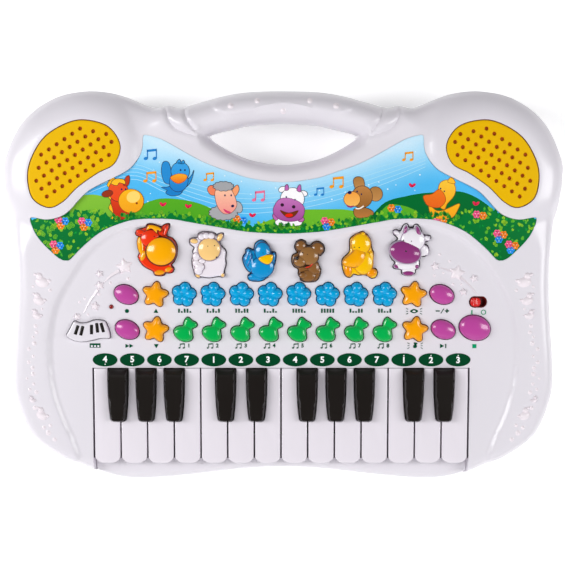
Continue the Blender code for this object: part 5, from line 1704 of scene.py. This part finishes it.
def small_marks(art):
    """Notes, butterflies and sparkles in the sky."""
    orange, blue, pink = (246, 160, 30), (36, 130, 205), (240, 112, 150)
    for place, size, colour in (
            ((-96.5, 97.3), 6.5, blue), ((-97, 81), 6.5, orange), ((-54, 81), 5.2, orange),
            ((-17.5, 67), 6.4, pink),
            ((39.8, 77), 7.0, orange), ((26.8, 70.2), 5.0, blue), ((91.6, 95.9), 5.6, orange)):
        quaver(place, size, colour, art)
    for x, y in ((-88.3, 60.6), (-69.7, 59.3), (-22.7, 52.6), (94.4, 74.5), (141.3, 61.2)):
        for turn in (0.7, -0.9):
            art.area(ellipse(1.9, 1.0, turn, 14, (x + 1.0 * math.copysign(1, turn), y)), (230, 34, 80), 16)
    random.seed(3)
    for _ in range(46):
        x = random.uniform(-104, 104)
        y = random.uniform(60, 76 + abs(x) * 0.28)
        size = random.uniform(0.25, 0.6)
        art.area(ellipse(size, size, 0, 8, (x, y)), (222, 242, 252), 1)


# ---------------------------------------------------------------- printed marks on the panel

DARK_GREEN = (0, 76, 48)
BRIGHT_GREEN = (0, 150, 100)


def digit(text, place, size, weight=0.02):
    """Outline triangles of a character, centred on place."""
    curve = bpy.data.curves.new("digit", "FONT")
    curve.body = text
    curve.size = size
    curve.align_x = "CENTER"
    curve.align_y = "CENTER"
    curve.offset = weight * size
    curve.resolution_u = 4
    obj = bpy.data.objects.new("digit", curve)
    bpy.context.scene.collection.objects.link(obj)
    bpy.context.view_layer.update()
    mesh = bpy.data.meshes.new_from_object(obj.evaluated_get(bpy.context.evaluated_depsgraph_get()))
    bm = bmesh.new()
    bm.from_mesh(mesh)
    bmesh.ops.remove_doubles(bm, verts=bm.verts, dist=1e-4)
    bmesh.ops.triangulate(bm, faces=bm.faces)
    verts = [(v.co.x + place[0], v.co.y + place[1]) for v in bm.verts]
    faces = [tuple(v.index for v in f.verts) for f in bm.faces]
    bm.free()
    bpy.data.meshes.remove(mesh)
    bpy.data.objects.remove(obj)
    return verts, faces


def add_digit(marks, text, place, size, colour, layer, weight=0.03):
    verts, faces = digit(text, place, size, weight)
    start, count = len(marks.verts), len(verts)
    top = marks.base + 0.012 * (layer + 1)
    marks.verts += [(x, y, top) for x, y in verts] + [(x, y, marks.base - 0.1) for x, y in verts]
    oriented = [f if area([verts[i] for i in f]) > 0 else f[::-1] for f in faces]
    sides = {(f[i], f[(i + 1) % 3]) for f in oriented for i in range(3)}
    shell = oriented + [tuple(i + count for i in reversed(f)) for f in oriented]
    shell += [(b, a, a + count, b + count) for a, b in sides if (b, a) not in sides]
    for face in shell:
        marks.faces.append(tuple(i + start for i in face))
        marks.colours += [colour] * len(face)


def panel_marks():
    marks = Print(PANEL_TOP)
    white = (246, 246, 246)
    for i in range(14):
        x = -132.7 + 20.22 * i
        y = -55.0
        marks.area(ellipse(9.2, 4.95, 0, 48, (x, y)), (0, 66, 36), 0)
        add_digit(marks, str((i + 3) % 7 + 1), (x, y + (0.3 if i < 4 else (-0.3 if i > 10 else 0))), 6.4,
                  white, 1, 0.035)
        if i < 4:
            marks.area(ellipse(0.42, 0.42, 0, 12, (x, y - 3.3)), white, 1)
        if i > 10:
            marks.area(ellipse(0.42, 0.42, 0, 12, (x, y + 3.3)), white, 1)
    for i, (x, _) in enumerate(FLOWER_PLACES):
        rhythm_mark(marks, (x + 0.6, -18.2), i)
    for i, (x, _) in enumerate(NOTE_PLACES):
        quaver((x - 2.6, -44.4), 3.2, DARK_GREEN, marks, 0)
        add_digit(marks, str(i + 1), (x + 2.4, -44.4), 4.0, DARK_GREEN, 0)
    marks.area(ellipse(1.5, 1.5, 0, 20, (-116, -18.4)), DARK_GREEN, 0)
    for x, y, flip in ((-94.5, -18.4, 1), (-94.5, -44.6, -1)):
        marks.area([(x - 1.7, y - 1.4 * flip), (x + 1.7, y - 1.4 * flip), (x, y + 1.6 * flip)], DARK_GREEN, 0)
    marks.area([(-117.4, -46), (-117.4, -43), (-114.6, -44.5)], DARK_GREEN, 0)
    marks.area([(-114.4, -46), (-114.4, -43), (-111.6, -44.5)], DARK_GREEN, 0)
    keys_mark(marks, (-140, -44.2))
    for x in (-3.4, 3.4):
        marks.area(rectangle(118 + x - 1.5, 118 + x + 1.5, -18.8, -18.0), DARK_GREEN, 0)
        if x > 0:
            marks.area(rectangle(118 + x - 0.4, 118 + x + 0.4, -19.9, -16.9), DARK_GREEN, 0)
    marks.area(stroke([(116.9, -20.2), (119.1, -16.6)], 0.5), DARK_GREEN, 0)
    marks.area([(116.6, -46.2), (116.6, -43), (119.6, -44.6)], DARK_GREEN, 0)
    marks.area(rectangle(120.4, 121.2, -46.2, -43), DARK_GREEN, 0)
    marks.area(rectangle(140.6, 143.6, -46.2, -43.2), BRIGHT_GREEN, 0)
    marks.area(rectangle(139.5, 140.3, -20.8, -17.8), BRIGHT_GREEN, 0)
    ring = ellipse(1.6, 1.6, 0, 24, (148.5, -19.3))
    marks.area(stroke(ring + ring[:1], 0.55), BRIGHT_GREEN, 0)
    mouth_mark(marks, (97, -18.6))
    hands_mark(marks, (98, -44.4))
    show(marks.build("panel_print"), INK, slot="body_plastic")


def rhythm_mark(marks, place, index):
    """A little bar chart of beats, a different pattern for each rhythm."""
    patterns = (0b10110, 0b10101, 0b11011, 0b10010, 0b11110, 0b11111, 0b10011, 0b11001)
    x, y = place
    for k in range(5):
        tall = patterns[index] >> (4 - k) & 1
        left = x - 5.0 + 2.1 * k
        marks.area(rectangle(left, left + 1.2, y - 1.5, y + (1.5 if tall else -0.3)), DARK_GREEN, 0)


def keys_mark(marks, place):
    x, y = place
    marks.area(rectangle(x - 4, x + 4, y - 1.6, y + 1.6), DARK_GREEN, 0)
    for k in (-2.4, 0, 2.4):
        marks.area(rectangle(x + k - 0.7, x + k + 0.7, y - 1.1, y + 0.2), (236, 232, 240), 1)


def mouth_mark(marks, place):
    x, y = place
    outline = smooth([(x - 3, y), (x, y + 1.7), (x + 3, y), (x, y - 1.5)], 5)
    marks.area(outline, DARK_GREEN, 0)
    marks.area(ellipse(1.2, 0.6, 0, 14, (x, y)), (236, 232, 240), 1)
    rays(marks, place, 4.4)


def hands_mark(marks, place):
    x, y = place
    marks.area(ellipse(1.5, 1.3, 0.4, 16, (x, y - 0.5)), DARK_GREEN, 0)
    for k in range(4):
        t = 0.9 + 0.33 * k
        marks.area(stroke([(x, y), (x + 2.6 * math.cos(t), y + 2.6 * math.sin(t))], 0.55), DARK_GREEN, 0)
    rays(marks, place, 4.2)


def rays(marks, place, reach):
    for side in (1, -1):
        for dy in (-1.4, 0, 1.4):
            a = (place[0] + side * reach, place[1] + dy)
            b = (place[0] + side * (reach + 1.5), place[1] + dy * 1.6)
            marks.area(stroke([a, b], 0.4), DARK_GREEN, 0)


# ---------------------------------------------------------------- reliefs

def skin_height(place):
    return float(casing_height(np.array([place]))[0])


def relief(name, outline, rise, radius, spacing, bell=False):
    """A soft swelling on the casing's skin."""
    def height(points):
        t = np.clip(to_outline(points, outline) / radius, 0, 1)
        return casing_height(points) - 0.02 + rise * (t * t * (3 - 2 * t) if bell else t * (2 - t))

    insets = [radius * k for k in (0.12, 0.3, 0.5, 0.75)]
    return raised(name, outline, skin_height(outline[0]) - 2.0, height, insets, spacing)


def pip(place, radius):
    return relief("pip", ellipse(radius * 1.35, radius * 1.35, 0, 22, place), radius * 0.8, radius * 1.3,
                  radius * 0.35, True)


def relief_star(place, size, turn):
    outline = []
    for k in range(10):
        reach = size if k % 2 == 0 else size * 0.56
        t = turn + math.pi * k / 5
        outline.append((place[0] + reach * math.cos(t), place[1] + reach * math.sin(t)))
    return relief("star", outline, 1.5, size * 0.4, size * 0.12)


def relief_duck(place, size, turn, side):
    """A duckling: a body, a head and a beak."""
    pieces = []
    for x, y, a, b, rise in ((0, 0, 1.45, 1.05, 1.7), (0.85, 1.15, 0.75, 0.7, 1.6), (1.6, 1.3, 0.5, 0.3, 0.9),
                             (-1.3, 0.6, 0.5, 0.36, 0.9)):
        outline = ellipse(a * size, b * size, 0, 28, (x * size, y * size))
        if side < 0:
            outline = flipped(outline)
        radius = min(a, b) * size
        pieces.append(relief("duck", shifted(turned(outline, turn), place), rise, radius, radius * 0.3))
    return pieces


def comet_tail(points, wide, side):
    """A comet tail behind a relief star: a wedge that narrows along its path and faces one side."""
    path = smooth_path(points, 8)
    near, far = [], []
    for i, (x, y) in enumerate(path):
        ax, ay = path[max(i - 1, 0)]
        bx, by = path[min(i + 1, len(path) - 1)]
        ux, uy = unit(bx - ax, by - ay)
        half = 0.5 * (wide + (0.5 - wide) * i / (len(path) - 1))
        near.append((x + side * uy * half, y - side * ux * half))
        far.append((x - side * uy * half, y + side * ux * half))
    outline = near + far[::-1]

    def height(where):
        return casing_height(where) - 0.02 + 0.55 * to_path(where, near)

    return raised("tail", outline, skin_height(points[0]) - 2.0, height, (0.15, 0.4), 0.5)


def reliefs():
    pieces = []
    ducks = [((178.0, 3.2), 3.6, 0.2), ((180.6, -10.6), 3.0, 0.3), ((182.4, -21.8), 2.4, 0.3),
             ((180.1, -96.6), 3.0, 0.5), ((186.9, -85.0), 1.6, 0.4)]
    pips = [(184.7, 0.1, 0.9), (172.2, -2.7, 1.1), (178.4, -16.6, 0.8), (183.5, -29.3, 1.2),
            (182.8, -34, 1.2),
            (185.4, -37.6, 0.9), (184.7, -42.2, 1.4), (188.7, -46.5, 1.2), (185.6, -52, 1.0),
            (189, -56.4, 1.2),
            (186.3, -60.6, 1.2), (186, -65.2, 1.4), (190.5, -68.6, 0.8), (185.6, -72.7, 1.0),
            (188.7, -76.8, 1.0),
            (183.7, -79, 1.3), (185.2, -90.7, 1.3), (178.8, -105.7, 1.2), (173.8, -104, 1.1),
            (175.3, -109.7, 1.6),
            (170.7, -114.6, 1.3)]
    for side in (1, -1):
        for place, size, turn in ducks:
            pieces += relief_duck((side * place[0], place[1]), size, side * turn, side)
        pieces += [pip((side * x, y), radius) for x, y, radius in pips]
    for place, size, turn in (((-117.5, 14.8), 6.8, 1.76), ((-135.9, 9.3), 3.2, 1.88),
                              ((-135.9, 0.7), 3.9, 1.84),
                              ((-139.5, -14.8), 3.9, 1.4), ((-153, -22.7), 3.3, 1.95),
                              ((112.4, 14.9), 3.6, 1.83), ((128.5, 10.0), 6.5, 1.36),
                              ((141.2, 5.9), 3.3, 1.9),
                              ((133.4, -4.2), 3.3, 1.7)):
        pieces.append(relief_star(place, size, turn))
    for x, y, radius in ((-114.9, 5.6, 1.1), (-127.9, 2.6, 1.0), (-136.5, -6, 1.0), (-147.1, -9.1, 0.9),
                         (-151, -11.7, 0.9), (-145, -21, 0.8), (115.6, 23.5, 0.9), (123, 18.7, 0.9),
                         (118.4, 9.9, 0.8), (111.7, 7.9, 0.9), (125.8, 1.6, 0.9), (131.7, 1.4, 0.8)):
        pieces.append(pip((x, y), radius))
    pieces.append(comet_tail([(-121.5, 11.8), (-127.6, 8.0), (-132.6, 3.2)], 2.8, 1))
    pieces.append(comet_tail([(-137.6, -2.6), (-143.4, -10.6), (-148.2, -20.0)], 2.0, 1))
    pieces.append(comet_tail([(124.6, 11.4), (120, 12.8), (115.6, 14.2)], 1.8, 1))
    pieces.append(comet_tail([(131.4, 6.6), (138.4, 0.6), (144.7, -7.3)], 2.0, -1))
    for x, y, radius in ((-38.4, 132.2, 1.7), (38.4, 132.2, 1.7), (-19.0, 135.8, 1.5), (19.2, 135.8, 1.5),
                         (0, 128.4, 1.6)):
        pieces.append(pip((x, y), radius))
    # The reliefs wear the lighter tone of a painted highlight.
    show(merged("casing_reliefs", pieces), RELIEF_PAINTED_HIGHLIGHT, slot="body_plastic")


# ---------------------------------------------------------------- lamp and switch

def lamp_and_switch():
    x, y = deck_place("record_lamp")
    lens = revolved("record_lamp_lens", [(0, 18.7), (0.7, 18.6), (1.2, 18.2), (1.55, 17.5), (1.55, 9),
                                         (0, 9)], (x, y), 24)
    show(lens, LENS, node="record_lamp", slot="red_lens")
    x, y = switch_place()
    body = softened("power_switch_housing", shifted(rounded_rectangle(19, 11.5, 3), (x, y)), 5, 12.0, 0.3, 2)
    show(body, DARK_RED, node="power_switch_body", slot="switch_body")
    collar = prism("power_switch_surround", shifted(rounded_rectangle(13.4, 8.4, 3.9), (x, y)), 11.5, 15.4)
    combine(collar, [prism("well", shifted(rounded_rectangle(12.2, 7.2, 3.4), (x, y)), 10, 20)])
    show(collar, DARK_RED, slot="switch_body")
    knob_x, knob_y = deck_place("power_switch_knob")
    outline = shifted(rounded_rectangle(7.4, 6.4, 2.6), (knob_x, knob_y))

    def height(points):
        ribs = 0.35 * np.cos((points[:, 0] - knob_x) * 2 * math.pi / 2.4)
        return 18.3 + 0.8 * round_over(to_outline(points, outline),
                                       1.2) + ribs * ease(to_outline(points, outline), 0.4, 1.4)

    knob = raised("power_switch_slider", outline, 12.35, height, (0.08, 0.3, 0.7, 1.2), 0.5)
    show(knob, RED, "power_switch_knob", "power_switch_knob", "red_plastic")


# ---------------------------------------------------------------- inner pieces that keep their CAD shape

def dress_cad():
    looks = {
        "left_speaker": DARK, "right_speaker": DARK, "main_circuit_board": BOARD, "key_circuit_board": BOARD,
        "button_contact_sheet": RUBBER, "key_contact_strip": RUBBER, "key_pivot_rod": STEEL,
        "battery_spring_contact": STEEL, "battery_plate_contact": STEEL,
    }
    for node, mat in looks.items():
        wear(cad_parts[node], mat)


# ---------------------------------------------------------------- stage

def area_light(name, place, target, size, power, colour=(1, 1, 1)):
    light = bpy.data.lights.new(name, "AREA")
    light.shape = "RECTANGLE"
    light.size, light.size_y = size
    light.energy = power
    light.color = colour
    obj = bpy.data.objects.new(name, light)
    obj.location = place
    obj.rotation_euler = (Vector(target) - Vector(place)).to_track_quat("-Z", "Y").to_euler()
    bpy.context.scene.collection.objects.link(obj)


def studio():
    """Soft surroundings: bright towards the horizon in front, dark overhead and behind."""
    world = bpy.data.worlds.new("studio")
    world.use_nodes = True
    nodes, links = world.node_tree.nodes, world.node_tree.links
    place = nodes.new("ShaderNodeTexCoord")
    axes = nodes.new("ShaderNodeSeparateXYZ")
    links.new(place.outputs["Generated"], axes.inputs["Vector"])
    factors = []
    for axis, low, high, at_low, at_high in (("Z", 0.3, 0.95, 1.0, 0.12), ("Y", -1.0, 1.0, 1.0, 0.4)):
        fade = nodes.new("ShaderNodeMapRange")
        fade.inputs["From Min"].default_value = low
        fade.inputs["From Max"].default_value = high
        fade.inputs["To Min"].default_value = at_low
        fade.inputs["To Max"].default_value = at_high
        links.new(axes.outputs[axis], fade.inputs["Value"])
        factors.append(fade.outputs["Result"])
    glow = nodes.new("ShaderNodeMath")
    glow.operation = "MULTIPLY"
    links.new(factors[0], glow.inputs[0])
    links.new(factors[1], glow.inputs[1])
    strength = nodes.new("ShaderNodeMath")
    strength.operation = "MULTIPLY"
    strength.inputs[1].default_value = 0.42
    links.new(glow.outputs["Value"], strength.inputs[0])
    background = nodes["Background"]
    background.inputs["Color"].default_value = (0.97, 0.97, 1.0, 1)
    links.new(strength.outputs["Value"], background.inputs["Strength"])
    return world


def stage():
    bpy.ops.mesh.primitive_plane_add(size=8)
    floor = bpy.context.object
    floor.name = "floor"
    pale, nodes, links, shader = material("floor_paper")
    grain = nodes.new("ShaderNodeTexNoise")
    grain.inputs["Scale"].default_value = 60
    tone = nodes.new("ShaderNodeMapRange")
    tone.inputs["To Min"].default_value = 0.97
    tone.inputs["To Max"].default_value = 0.99
    links.new(grain.outputs["Fac"], tone.inputs["Value"])
    links.new(tone.outputs["Result"], shader.inputs["Base Color"])
    shader.inputs["Roughness"].default_value = 0.9
    shader.inputs["Specular IOR Level"].default_value = 0.1
    shader.inputs["Emission Color"].default_value = (1, 1, 1, 1)
    shader.inputs["Emission Strength"].default_value = 0.32
    floor.data.materials.append(pale)
    bpy.context.scene.world = studio()
    area_light("left_softbox", (-0.85, 0.12, 0.75), (0, 0, 0.03), (0.35, 0.8), 8.6)
    area_light("right_softbox", (0.85, -0.02, 0.75), (0, 0, 0.03), (0.35, 0.7), 5.4)
    area_light("front_softbox", (0.0, -1.0, 0.8), (0, 0, 0.03), (1.2, 0.35), 6.4)
    bpy.data.objects["front_softbox"].visible_glossy = False
    bpy.context.scene.view_settings.view_transform = "Standard"


def camera():
    lens = bpy.data.cameras.new("camera")
    lens.sensor_width = 36
    lens.lens = 73.8
    lens.clip_end = 10
    obj = bpy.data.objects.new("camera", lens)
    obj.location = (-0.0006, 0.0028, 0.9)
    bpy.context.scene.collection.objects.link(obj)
    bpy.context.scene.camera = obj


camera()
stage()
upper_casing()
lower_casing()
battery_door()
speaker_grilles()
for key_index in range(KEY_COUNT):
    white_key(key_index)
for key_index in BLACK_AFTER:
    black_key(key_index)
button_caps()
animal_caps()
picture()
panel_marks()
reliefs()
lamp_and_switch()
dress_cad()
